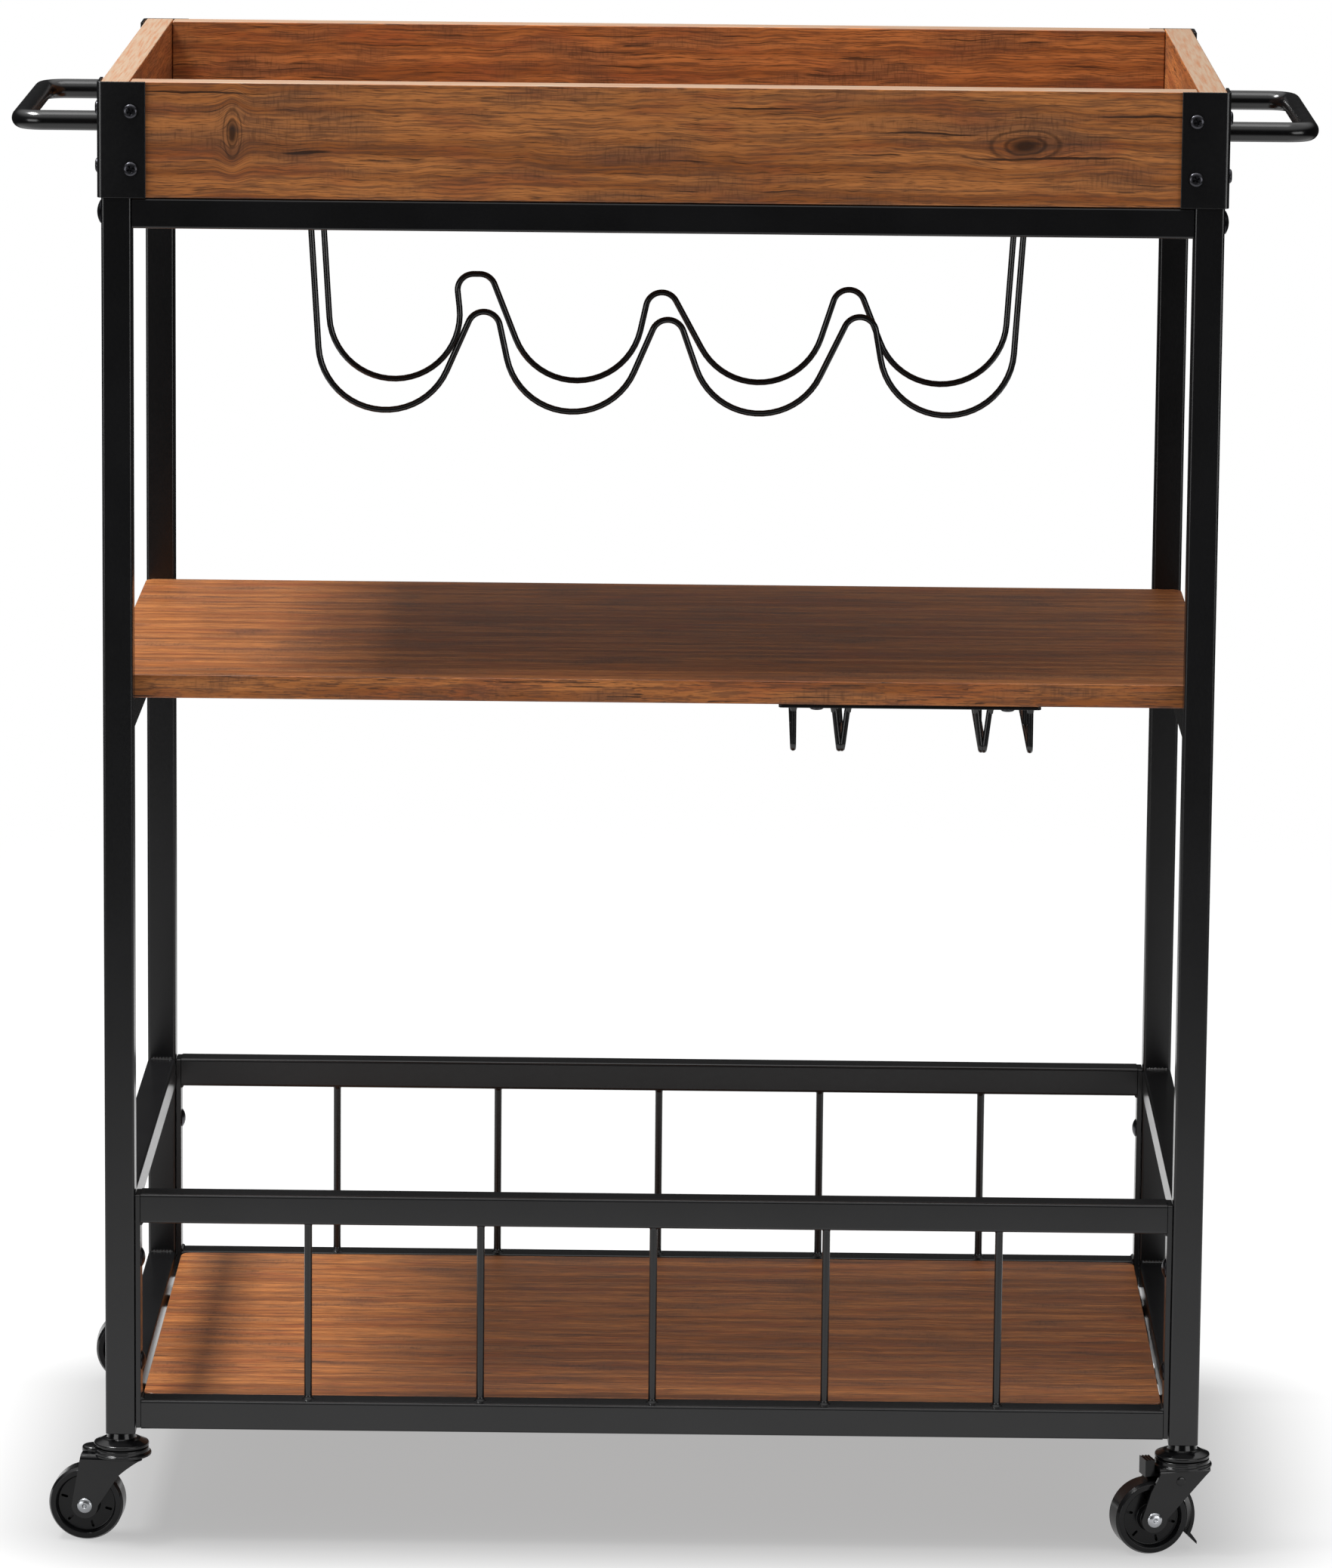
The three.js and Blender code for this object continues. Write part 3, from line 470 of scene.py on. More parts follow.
def new_material(name, **shader_values):
    """Empty material with its shader, whose own sockets take the even values."""
    material = bpy.data.materials.new(name)
    material.use_nodes = True
    tree = material.node_tree
    tree.nodes.clear()
    values = {key.replace("_", " "): value for key, value in shader_values.items()}
    shader = add_node(tree, "ShaderNodeBsdfPrincipled", values)
    add_node(tree, "ShaderNodeOutputMaterial", links={"Surface": shader.outputs["BSDF"]})
    return material, tree, shader


def coated_metal(name, tint, gloss, spread, ripple, ripple_height, **shader_values):
    """Coat whose colour, gloss and surface vary a little. ripple is the ripple's width in millimetres."""
    material, tree, shader = new_material(name, **shader_values)
    coords = add_node(tree, "ShaderNodeTexCoord")
    place = coords.outputs["Object"]
    clouds = add_node(tree, "ShaderNodeTexNoise", {"Scale": 1000 / 60, "Detail": 3.0}, {"Vector": place})
    shade = add_node(
        tree, "ShaderNodeMapRange", {"From Min": 0.3, "From Max": 0.7, "To Min": 0.75, "To Max": 1.3},
        {"Value": clouds.outputs["Fac"]},
    )
    tinted = add_node(
        tree, "ShaderNodeVectorMath", {"operation": "SCALE", 0: tint[:3]}, {"Scale": shade.outputs["Result"]}
    )
    tree.links.new(tinted.outputs["Vector"], shader.inputs["Base Color"])
    grit = add_node(
        tree, "ShaderNodeTexNoise",
        {"Scale": 1000 / ripple, "Detail": 2.0, "Roughness": 0.55}, {"Vector": place},
    )
    rough = add_node(
        tree, "ShaderNodeMapRange",
        {"From Min": 0.3, "From Max": 0.7, "To Min": gloss - spread, "To Max": gloss + spread},
        {"Value": grit.outputs["Fac"]},
    )
    tree.links.new(rough.outputs["Result"], shader.inputs["Roughness"])
    bump = add_node(
        tree, "ShaderNodeBump",
        {"Strength": 0.5, "Distance": ripple_height * MM}, {"Height": grit.outputs["Fac"]},
    )
    tree.links.new(bump.outputs["Normal"], shader.inputs["Normal"])
    return material


def polyester_powder_coat(finishes):
    """Polyester powder, sprayed on and baked: deep black with a satin gloss and a fine orange peel.
    The peel's bumps are about 1.6 mm wide."""
    return coated_metal("polyester_powder_coat", finishes.powder, 0.25, 0.02, 1.6, 0.004, IOR=1.46)


def gloss_coated_wire(finishes):
    """Cold-drawn wire and bar with a glossy baked enamel: narrow bright lines run along the bars."""
    return coated_metal("gloss_coated_wire", finishes.wire, 0.2, 0.02, 6.0, 0.004, IOR=1.5)


def black_oxide_steel(finishes):
    """Rolled-thread steel screws with a waxed black oxide: dark metal with a soft glint."""
    return coated_metal("black_oxide_steel", finishes.oxide, 0.3, 0.06, 0.8, 0.015, Metallic=1.0)


def dip_painted_pressing(finishes):
    """Pressed sheet steel, dipped in black enamel: glossy, and slightly wavy where the paint ran."""
    return coated_metal(
        "dip_painted_pressing", finishes.caster, 0.16, 0.03, 5.0, 0.012, Specular_IOR_Level=0.32
    )


def moulded_nylon(finishes):
    """Injection-moulded nylon from a polished mould: even black, a soft gloss and a faint grain."""
    return coated_metal("moulded_nylon", finishes.nylon, 0.2, 0.03, 0.9, 0.004, Specular_IOR_Level=0.2)


def zinc_plated_steel(finishes):
    """Headed steel pin in bright zinc: a pale metal with a slightly clouded mirror."""
    return coated_metal("zinc_plated_steel", finishes.zinc, 0.26, 0.05, 1.6, 0.01, Metallic=1.0)


def placed_mark(tree, here, x, y, half_length, half_height):
    """Offset from a mark's middle, and its square where the mark's outline is one."""
    offset = add_node(tree, "ShaderNodeVectorMath", {"operation": "SUBTRACT", 1: (x, y, 0.0)}, {0: here})
    share = add_node(
        tree, "ShaderNodeVectorMath", {"operation": "DIVIDE", 1: (half_length, half_height, 1e6)},
        {0: offset.outputs["Vector"]},
    )
    square = add_node(
        tree, "ShaderNodeVectorMath", {"operation": "DOT_PRODUCT"},
        {0: share.outputs["Vector"], 1: share.outputs["Vector"]},
    )
    return offset.outputs["Vector"], square.outputs["Value"]


def darker(tree, first, second):
    """The stronger of two figures, or the second where there is no first."""
    if first is None:
        return second
    return add_node(tree, "ShaderNodeMath", {"operation": "MAXIMUM"}, {0: first, 1: second}).outputs["Value"]


def walnut_foil(name, finishes, along, across, knots=(), splits=(), seed=0.0):
    """Walnut print under melamine, hot-pressed on board: straight figure, dark cracks and knots, fine
    cross-grain flecks and a low sheen. knots and splits are (along, across, half length, half height)
    in millimetres."""
    material, tree, shader = new_material(name, IOR=1.48)
    coords = add_node(tree, "ShaderNodeTexCoord")
    axes = Matrix((along, across, Vector(along).cross(Vector(across))))
    grain = add_node(
        tree, "ShaderNodeMapping", {"Rotation": axes.to_euler(), "Scale": (1000.0,) * 3},
        {"Vector": coords.outputs["Object"]},
    )
    # The whole figure wanders a few millimetres up and down along the board
    wander = add_node(
        tree, "ShaderNodeTexNoise", {"Scale": 1 / 45, "Detail": 4.0}, {"Vector": grain.outputs["Vector"]}
    )
    drift = add_node(
        tree, "ShaderNodeMapRange", {"From Min": 0.2, "From Max": 0.8, "To Min": -2.0, "To Max": 2.0},
        {"Value": wander.outputs["Fac"]},
    )
    shift = add_node(tree, "ShaderNodeCombineXYZ", links={"Y": drift.outputs["Result"]})
    wavy = add_node(
        tree, "ShaderNodeVectorMath", {"operation": "ADD"},
        {0: grain.outputs["Vector"], 1: shift.outputs["Vector"]},
    )
    here = wavy.outputs["Vector"]
    heart = None
    for knot in knots:
        # The figure parts round a knot, whose growth rings close about its core
        offset, square = placed_mark(tree, here, *knot)
        hump = add_node(tree, "ShaderNodeMath", {"operation": "POWER", 0: math.exp(-1)}, {1: square})
        push = add_node(
            tree, "ShaderNodeVectorMath", {"operation": "MULTIPLY", 1: (0.0, 0.9, 0.0)}, {0: offset}
        )
        pushed = add_node(
            tree, "ShaderNodeVectorMath", {"operation": "SCALE"},
            {0: push.outputs["Vector"], "Scale": hump.outputs["Value"]},
        )
        moved = add_node(
            tree, "ShaderNodeVectorMath", {"operation": "SUBTRACT"}, {0: here, 1: pushed.outputs["Vector"]}
        )
        here = moved.outputs["Vector"]
        away = add_node(tree, "ShaderNodeMath", {"operation": "SQRT"}, {0: square})
        turns = add_node(
            tree, "ShaderNodeMath", {"operation": "MULTIPLY", 1: 17.0}, {0: away.outputs["Value"]}
        )
        wave = add_node(tree, "ShaderNodeMath", {"operation": "SINE"}, {0: turns.outputs["Value"]})
        rings = add_node(
            tree, "ShaderNodeMapRange", {"From Min": 0.1, "From Max": 1.0, "To Max": 0.75},
            {"Value": wave.outputs["Value"]},
        )
        window = add_node(
            tree, "ShaderNodeMapRange", {"From Min": 0.3, "From Max": 0.55}, {"Value": hump.outputs["Value"]}
        )
        ringed = add_node(
            tree, "ShaderNodeMath", {"operation": "MULTIPLY"},
            {0: rings.outputs["Result"], 1: window.outputs["Result"]},
        )
        core = add_node(
            tree, "ShaderNodeMapRange", {"From Min": 0.8, "From Max": 0.97}, {"Value": hump.outputs["Value"]}
        )
        heart = darker(tree, heart, ringed.outputs["Value"])
        heart = darker(tree, heart, core.outputs["Result"])
    for split in splits:
        square = placed_mark(tree, wavy.outputs["Vector"], *split)[1]
        gash = add_node(
            tree, "ShaderNodeMapRange", {"From Min": 1.0, "From Max": 0.4}, {"Value": square}
        )
        heart = darker(tree, heart, gash.outputs["Result"])
    figures = {} if heart is None else {"heart": heart}
    # Each layer: how long and how wide its marks are in millimetres, its detail and where it starts and ends
    layers = {
        "bands": (260, 8, 5.0, 0.40, 0.60),
        "streaks": (30, 1.1, 5.0, 0.46, 0.60),
        "pores": (11, 0.6, 2.0, 0.55, 0.66),
        "cracks": (52, 1.5, 3.0, 0.635, 0.675),
        "smoke": (80, 17, 3.0, 0.50, 0.68),
        "red": (60, 13, 2.0, 0.52, 0.68),
        "flecks": (1.6, 10, 2.0, 0.50, 0.66),
    }
    for number, (layer, (long, wide, detail, low, high)) in enumerate(layers.items()):
        stretched = add_node(
            tree, "ShaderNodeMapping",
            {"Scale": (1 / long, 1 / wide, 1 / wide), "Location": (seed + 7.3 * number, seed, 3.1 * number)},
            {"Vector": here},
        )
        cloud = add_node(
            tree, "ShaderNodeTexNoise", {"Scale": 1.0, "Detail": detail, "Distortion": 0.15},
            {"Vector": stretched.outputs["Vector"]},
        )
        marks = add_node(
            tree, "ShaderNodeMapRange", {"From Min": low, "From Max": high}, {"Value": cloud.outputs["Fac"]}
        )
        figures[layer] = marks.outputs["Result"]
    ladder = add_node(
        tree, "ShaderNodeMath", {"operation": "MULTIPLY"}, {0: figures["flecks"], 1: figures["smoke"]}
    )
    figures["ladder"] = ladder.outputs["Value"]
    tone = add_node(
        tree, "ShaderNodeMix", {"data_type": "RGBA", 6: finishes.walnut_light, 7: finishes.walnut_mid},
        {0: figures["bands"]},
    ).outputs[2]
    shades = [
        ("red", finishes.walnut_red, 0.55), ("smoke", finishes.walnut_smoke, 0.45),
        ("streaks", finishes.walnut_dark, 0.6), ("pores", finishes.walnut_dark, 0.7),
        ("ladder", finishes.walnut_dark, 0.5), ("cracks", finishes.walnut_crack, 0.8),
    ]
    if heart is not None:
        shades.append(("heart", finishes.walnut_crack, 0.88))
    for layer, dark, share in shades:
        weight = add_node(tree, "ShaderNodeMath", {"operation": "MULTIPLY", 1: share}, {0: figures[layer]})
        tone = add_node(
            tree, "ShaderNodeMix", {"data_type": "RGBA", 7: dark}, {0: weight.outputs["Value"], 6: tone}
        ).outputs[2]
    tree.links.new(tone, shader.inputs["Base Color"])
    rough = add_node(
        tree, "ShaderNodeMapRange", {"To Min": 0.3, "To Max": 0.4}, {"Value": figures["streaks"]}
    )
    tree.links.new(rough.outputs["Result"], shader.inputs["Roughness"])
    relief = add_node(
        tree, "ShaderNodeMath", {"operation": "ADD"}, {0: figures["streaks"], 1: figures["cracks"]}
    )
    bump = add_node(
        tree, "ShaderNodeBump", {"Strength": 0.4, "Distance": 0.05 * MM, "invert": True},
        {"Height": relief.outputs["Value"]},
    )
    tree.links.new(bump.outputs["Normal"], shader.inputs["Normal"])
    return material


def walnut_edge_band(name, finishes, along):
    """Pale edge band, ironed on: light peach with thin brown lines along it and a low sheen."""
    material, tree, shader = new_material(name, IOR=1.5, Roughness=0.42)
    coords = add_node(tree, "ShaderNodeTexCoord")
    stretch = [1000 / 50 if component else 1000 / 1.6 for component in along]
    grain = add_node(tree, "ShaderNodeMapping", {"Scale": stretch}, {"Vector": coords.outputs["Object"]})
    lines = add_node(
        tree, "ShaderNodeTexNoise", {"Scale": 1.0, "Detail": 3.0, "Distortion": 0.3},
        {"Vector": grain.outputs["Vector"]},
    )
    weight = add_node(
        tree, "ShaderNodeMapRange", {"From Min": 0.42, "From Max": 0.75, "To Max": 0.8},
        {"Value": lines.outputs["Fac"]},
    )
    tone = add_node(
        tree, "ShaderNodeMix", {"data_type": "RGBA", 6: finishes.edge_band, 7: finishes.walnut_mid},
        {0: weight.outputs["Result"]},
    )
    tree.links.new(tone.outputs[2], shader.inputs["Base Color"])
    bump = add_node(
        tree, "ShaderNodeBump", {"Strength": 0.3, "Distance": 0.04 * MM}, {"Height": lines.outputs["Fac"]}
    )
    tree.links.new(bump.outputs["Normal"], shader.inputs["Normal"])
    return material


def finish_of(maker, context):
    """The material that a maker gives, made once."""
    return bpy.data.materials.get(maker.__name__) or maker(context.scene.cart_finishes)


# ---- Frame and basket ------------------------------------------------------------------------


class CART_OT_tubes(Operator):
    """Makes the posts and rails of square tube, with their weld beads"""

    bl_idname = "cart.tubes"
    bl_label = "Posts and Rails"

    def execute(self, context):
        sizes = context.scene.cart_frame
        powder = finish_of(polyester_powder_coat, context)

        def add_tube(node, place, half, extra=None):
            bm = bmesh.new()
            square_tube(bm, -half, half, place, TUBE, sizes.wall, sizes.corner)
            if extra:
                extra(bm)
            add_piece(f"tube_{node}", bm, "frame", [powder], [node])

        for corner in CORNERS:
            middle, size = extent(f"post_{corner}")
            add_tube(f"post_{corner}", Matrix.Translation(middle), size.z / 2)
        for end in ENDS:
            middle, size = extent(f"top_rail_{end}")
            add_tube(f"top_rail_{end}", Matrix.Translation(middle) @ ALONG_X, size.x / 2)
        welds = bmesh.new()
        for side, sx in SIDES.items():
            x = sx * POST_MIDDLE.x
            for level in ("top", "shelf", "basket", "bottom"):
                node = f"{level}_side_rail_{side}"
                middle, size = extent(node)
                extra = None
                if level == "bottom":
                    extra = lambda bm, sx=sx, half=size.y / 2: self.add_tabs(bm, sizes, sx, half)
                add_tube(node, Matrix.Translation((x, 0, middle.z)) @ ALONG_Y, size.y / 2, extra)
                reach = TUBE / 2 - sizes.corner
                for sy in (-1, 1):
                    for sz in (-1, 1):
                        y, z = sy * size.y / 2, middle.z + sz * TUBE / 2
                        bead(welds, (x - reach, y, z), (x + reach, y, z), sizes.bead)
        add_piece("rail_welds", welds, "frame", [powder])
        return {"FINISHED"}

    @staticmethod
    def add_tabs(bm, sizes, sx, half):
        """Two welded tabs under the lower shelf."""
        width, reach, sheet = 24 * MM, 20 * MM, 2.5 * MM
        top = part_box("lower_shelf")[0].z - GAP
        x = sx * (POST_MIDDLE.x - TUBE / 2 - reach / 2)
        for y in (sizes.tab_inset - half, half - sizes.tab_inset):
            slab(bm, reach, width, top - sheet, top, 3 * MM, 0.3 * MM, (x, y))


class CART_OT_rail_bolts(Operator):
    """Makes the domed bolts that hold the top rails to the posts"""

    bl_idname = "cart.rail_bolts"
    bl_label = "Rail Bolts"

    def execute(self, context):
        sizes = context.scene.cart_hardware
        oxide = finish_of(black_oxide_steel, context)
        for corner, (sx, _) in CORNERS.items():
            node = f"rail_bolt_{corner}"
            low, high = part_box(node)
            middle = (low + high) / 2
            seat = abs(middle.x) + (high.x - low.x) / 2 - sizes.rail_rise
            turn = ALONG_X if sx > 0 else Matrix.Rotation(math.pi, 4, "Z") @ ALONG_X
            bm = bmesh.new()
            place = Matrix.Translation((sx * seat, middle.y, middle.z)) @ turn
            domed_bolt(bm, place, sizes.rail_head / 2, sizes.rail_rise, high.x - low.x - sizes.rail_rise)
            add_piece(f"bolt_{node}", bm, "frame", [oxide], [node])
        return {"FINISHED"}


def domed_bolt(bm, place, head, rise, shank_length, shank=3 * MM):
    """Bolt with a low dome whose rim stands square on its seat."""
    rim = 0.22 * rise
    ball = (head * head + (rise - rim) ** 2) / (2 * (rise - rim))
    dome = []
    for k in range(1, 9):
        radius = head * (1 - k / 8)
        dome.append((radius, rim + math.sqrt(ball * ball - radius * radius) - (ball - (rise - rim))))
    profile = [(0, -shank_length), (shank, -shank_length), (shank, 0), (head - 0.2 * MM, 0), (head, 0.2 * MM)]
    turned(bm, [*profile, (head, rim), *dome], place)


def phillips_screw(head, rise):
    """Pan-head screw on the plane z = 0 with a cross recess."""
    bm = bmesh.new()
    profile = [(0, -3 * rise), (0.35 * head, -3 * rise), (0.35 * head, 0), (head, 0), (head, 0.45 * rise)]
    edge = arc((0.45 * head, 0.45 * rise), 0.55 * head, 0, 78, 7)
    squash = 0.55 * rise / (0.55 * head)
    profile += [(r, 0.45 * rise + (z - 0.45 * rise) * squash) for r, z in edge[1:]]
    turned(bm, [*profile, (0, rise)])
    tool = bmesh.new()
    deep, wide, arm = 0.62 * rise, 0.13 * head, 0.56 * head
    for turn in (0, math.pi / 2):
        place = Matrix.Rotation(turn + 0.4, 4, "Z")
        low = [
            (-0.5 * arm, -0.6 * wide), (0.5 * arm, -0.6 * wide),
            (0.5 * arm, 0.6 * wide), (-0.5 * arm, 0.6 * wide),
        ]
        high = [(-arm, -wide), (arm, -wide), (arm, wide), (-arm, wide)]
        blade = bmesh.new()
        loft(blade, [lifted(low, rise - deep, place), lifted(high, rise + 0.2 * MM, place)], cap=True)
        tool = combine(tool, blade, "UNION") if turn else blade
    return combine(bm, tool, "DIFFERENCE")


class CART_OT_basket(Operator):
    """Makes the two wire panels of the basket, with their bolts and welds"""

    bl_idname = "cart.basket"
    bl_label = "Basket"

    def execute(self, context):
        sizes = context.scene.cart_frame
        powder = finish_of(polyester_powder_coat, context)
        oxide = finish_of(black_oxide_steel, context)
        for end in ENDS:
            node = f"basket_panel_{end}"
            middle, size = extent(node)
            rails = [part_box(f"{level}_side_rail_left") for level in ("bottom", "basket")]
            low_rail, high_rail = [(low.z + high.z) / 2 for low, high in rails]
            span = size.x / 2
            bm = bmesh.new()
            for z in (low_rail, high_rail):
                half = span - sizes.end_plate
                square_tube(
                    bm, -half, half, Matrix.Translation((0, middle.y, z)) @ ALONG_X,
                    TUBE, sizes.wall, sizes.corner,
                )
            pitch = (2 * POST_MIDDLE.x - TUBE) / (sizes.basket_wires + 1)
            foot, top = low_rail + TUBE / 2, high_rail - TUBE / 2
            for i in range(sizes.basket_wires):
                x = pitch * (i + 0.5 - sizes.basket_wires / 2)
                upright_wire(bm, x, middle.y, foot, top, sizes.basket_wire / 2)
            bolts = bmesh.new()
            for sx in (-1, 1):
                x = sx * (span - sizes.end_plate / 2)
                plate_height = high_rail - low_rail + TUBE - 1 * MM
                outline = rectangle(TUBE - 1 * MM, plate_height, 1.2 * MM)
                place = Matrix.Translation((x, middle.y, (low_rail + high_rail) / 2)) @ ALONG_X
                half = sizes.end_plate / 2
                loft(bm, [
                    lifted(rectangle(TUBE - 1.6 * MM, plate_height - 0.6 * MM, 1 * MM), -half, place),
                    lifted(outline, -half + 0.3 * MM, place), lifted(outline, half - 0.3 * MM, place),
                    lifted(rectangle(TUBE - 1.6 * MM, plate_height - 0.6 * MM, 1 * MM), half, place),
                ], cap=True)
                face = sx * (span - sizes.end_plate)
                for z, way in ((low_rail, 1), (high_rail, -1)):
                    reach = TUBE / 2 - sizes.corner
                    seam = z + way * TUBE / 2
                    bead(bm, (face, middle.y - reach, seam), (face, middle.y + reach, seam), sizes.bead)
                inward = ALONG_X if sx < 0 else Matrix.Rotation(math.pi, 4, "Z") @ ALONG_X
                for sz in (-1, 1):
                    z = (low_rail + high_rail) / 2 + sz * sizes.basket_bolts / 2
                    seat = Matrix.Translation((face, middle.y, z)) @ inward
                    head = context.scene.cart_hardware.basket_head / 2
                    domed_bolt(bolts, seat, head, 2.6 * MM, sizes.end_plate + sizes.wall)
            add_piece(f"panel_{node}", bm, "frame", [powder], [node])
            add_piece(f"bolts_{node}", bolts, "frame", [oxide])
        return {"FINISHED"}


def upright_wire(bm, x, y, foot, top, radius):
    """Basket wire that flares into a small weld at each end."""
    flare = 2.6 * MM
    steps = [(0.0, 1.55), (0.25, 1.35), (0.55, 1.12), (1.0, 1.0)]
    rows = [(foot + share * flare, grow * radius) for share, grow in steps]
    rows += [(top - share * flare, grow * radius) for share, grow in reversed(steps)]
    profile = [(0, foot - 0.4 * MM), (rows[0][1], foot - 0.4 * MM), *[(r, z) for z, r in rows]]
    profile += [(rows[-1][1], top + 0.4 * MM), (0, top + 0.4 * MM)]
    turned(bm, profile, Matrix.Translation((x, y, 0)), 24)


# ---- Boards ----------------------------------------------------------------------------------


class CART_OT_shelves(Operator):
    """Makes the middle and the lower shelf"""

    bl_idname = "cart.shelves"
    bl_label = "Shelves"

    def execute(self, context):
        sizes = context.scene.cart_frame
        finishes = context.scene.cart_finishes
        for number, node in enumerate(("middle_shelf", "lower_shelf")):
            foil = walnut_foil(f"walnut_foil_{node}", finishes, (1, 0, 0), (0, 1, 0), seed=11.0 + 5 * number)
            low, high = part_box(node)
            bm = bmesh.new()
            slab(bm, high.x - low.x, high.y - low.y, low.z, high.z, sizes.shelf_corner, sizes.arris)
            add_piece(f"board_{node}", bm, "frame", [foil], [node])
        return {"FINISHED"}


class CART_OT_tray(Operator):
    """Makes the tray's four boards, grooved for its floor, and the floor"""

    bl_idname = "cart.tray"
    bl_label = "Tray"

    def execute(self, context):
        sizes = context.scene.cart_frame
        finishes = context.scene.cart_finishes
        along_x, along_y, up = (1, 0, 0), (0, 1, 0), (0, 0, 1)
        floor_low, floor_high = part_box("tray_floor")
        low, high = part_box("tray_board_left")
        thick, tall = high.x - low.x, high.z - low.z
        groove = (floor_low.z - low.z - GAP, floor_low.z - low.z + sizes.tongue + GAP)
        depth = sizes.groove
        section = [(0, 0), (0, groove[0]), (-depth, groove[0]), (-depth, groove[1]), (0, groove[1])]
        section += [(0, tall), (-thick, tall), (-thick, 0)]
        # Knots in the front board: one stands near its left end, a larger one lies right of the middle
        knots = [(-268.0, 907.0, 7.0, 19.0), (225.0, 905.0, 26.0, 12.0)]
        splits = [
            (-292.0, 933.0, 44.0, 0.8), (240.0, 896.5, 62.0, 1.0), (300.0, 923.0, 36.0, 0.8),
            (165.0, 911.0, 38.0, 0.8), (-222.0, 896.0, 18.0, 1.3), (60.0, 927.0, 30.0, 0.7),
        ]
        foils = {
            "front": walnut_foil("walnut_foil_front_board", finishes, along_x, up, knots, splits, seed=2.0),
            "rear": walnut_foil("walnut_foil_rear_board", finishes, along_x, up, seed=23.0),
            "side": walnut_foil("walnut_foil_side_boards", finishes, along_y, up, seed=31.0),
        }
        bands = {
            "x": walnut_edge_band("walnut_edge_band_long", finishes, along_x),
            "y": walnut_edge_band("walnut_edge_band_side", finishes, along_y),
        }

        def add_board(name, inner, turn, run, foil, band):
            bm = bmesh.new()
            place = Matrix.Translation((*inner, low.z)) @ Matrix.Rotation(turn, 4, "Z")
            ends = [[place @ Vector((x, y, z)) for x, z in section] for y in (-run / 2, run / 2)]
            loft(bm, ends, cap=True)
            choose = lambda polygon: int(polygon.normal.z > 0.5 and polygon.center.z > high.z - 2 * MM)
            add_piece(
                f"board_{name}", bm, "frame", [foil, band], [name],
                bevel=sizes.arris, choose=choose,
            )

        for side, sx in SIDES.items():
            inner = (sx * (abs(low.x) - thick), 0)
            add_board(
                f"tray_board_{side}", inner, math.pi if sx > 0 else 0, high.y - low.y,
                foils["side"], bands["y"],
            )
        for end, sy in ENDS.items():
            board_low, board_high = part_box(f"tray_board_{end}")
            face = max(abs(board_low.y), abs(board_high.y)) - thick
            add_board(
                f"tray_board_{end}", (0, sy * face), -sy * math.pi / 2, board_high.x - board_low.x,
                foils[end], bands["x"],
            )
        bm = bmesh.new()
        size = floor_high - floor_low
        slab(bm, size.x, size.y, floor_low.z, floor_low.z + sizes.tongue, 1 * MM, 0.3 * MM)
        slab(
            bm, size.x - 2 * depth, size.y - 2 * depth,
            floor_low.z + 0.1 * MM, floor_high.z, 0.6 * MM, 0.3 * MM,
        )
        foil = walnut_foil("walnut_foil_tray_floor", finishes, along_x, along_y, seed=41.0)
        add_piece("board_tray_floor", bm, "frame", [foil], ["tray_floor"])
        return {"FINISHED"}


class CART_OT_brackets(Operator):
    """Makes the bent steel brackets on the tray's corners, with their cross-recess screws"""

    bl_idname = "cart.brackets"
    bl_label = "Corner Brackets"

    def execute(self, context):
        sizes = context.scene.cart_hardware
        powder = finish_of(polyester_powder_coat, context)
        oxide = finish_of(black_oxide_steel, context)
        screw = phillips_screw(sizes.screw_head / 2, sizes.screw_rise)
        for corner, (sx, sy) in CORNERS.items():
            node = f"corner_bracket_{corner}"
            low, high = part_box(node)
            leg = high.x - low.x
            sheet, bend = sizes.bracket_sheet, sizes.bracket_bend
            outer = rounded([(-leg, 0), (0, 0), (0, -leg)], bend, 8, closed=False)
            inner = rounded([(-sheet, -leg), (-sheet, -sheet), (-leg, -sheet)], bend - sheet, 8, closed=False)
            tip = (sx * max(abs(low.x), abs(high.x)), sy * max(abs(low.y), abs(high.y)), low.z)
            turn = Matrix.Rotation(math.atan2(sy, sx) - math.pi / 4, 4, "Z")
            place = Matrix.Translation(tip) @ turn
            bm = bmesh.new()
            plate(bm, [*outer, *inner], 0, high.z - low.z, place)
            add_piece(f"angle_{node}", bm, "frame", [powder], [node], bevel=0.35 * MM)
            screws = bmesh.new()
            middle = (high.z - low.z) / 2
            for lift in (-sizes.screw_spread / 2, sizes.screw_spread / 2):
                seats = (
                    Matrix.Translation((-sizes.screw_inset, 0, middle + lift))
                    @ Matrix.Rotation(-math.pi / 2, 4, "X"),
                    Matrix.Translation((0, -sizes.screw_inset, middle + lift))
                    @ Matrix.Rotation(math.pi / 2, 4, "Y"),
                )
                for seat in seats:
                    add_copy(screws, screw, place @ seat)
            add_piece(f"screws_{node}", screws, "frame", [oxide])
        screw.free()
        return {"FINISHED"}


class CART_OT_handles(Operator):
    """Makes the two bent-bar handles on the tray's sides"""

    bl_idname = "cart.handles"
    bl_label = "Handles"

    def execute(self, context):
        sizes = context.scene.cart_hardware
        gloss = finish_of(gloss_coated_wire, context)
        for side, sx in SIDES.items():
            node = f"handle_{side}"
            middle, size = extent(node)
            near = sx * (abs(middle.x) - size.x / 2)
            far = sx * (abs(middle.x) + size.x / 2 - sizes.handle_bar / 2)
            half = size.y / 2 - sizes.handle_bar / 2
            stations = [
                (near, -half, middle.z), (far, -half, middle.z),
                (far, half, middle.z), (near, half, middle.z),
            ]
            bm = bmesh.new()
            swept(bm, bent_run(stations, sizes.handle_bend, 14), sizes.handle_bar / 2, 32)
            add_piece(f"bar_{node}", bm, "frame", [gloss], [node])
        return {"FINISHED"}


# ---- Racks -----------------------------------------------------------------------------------

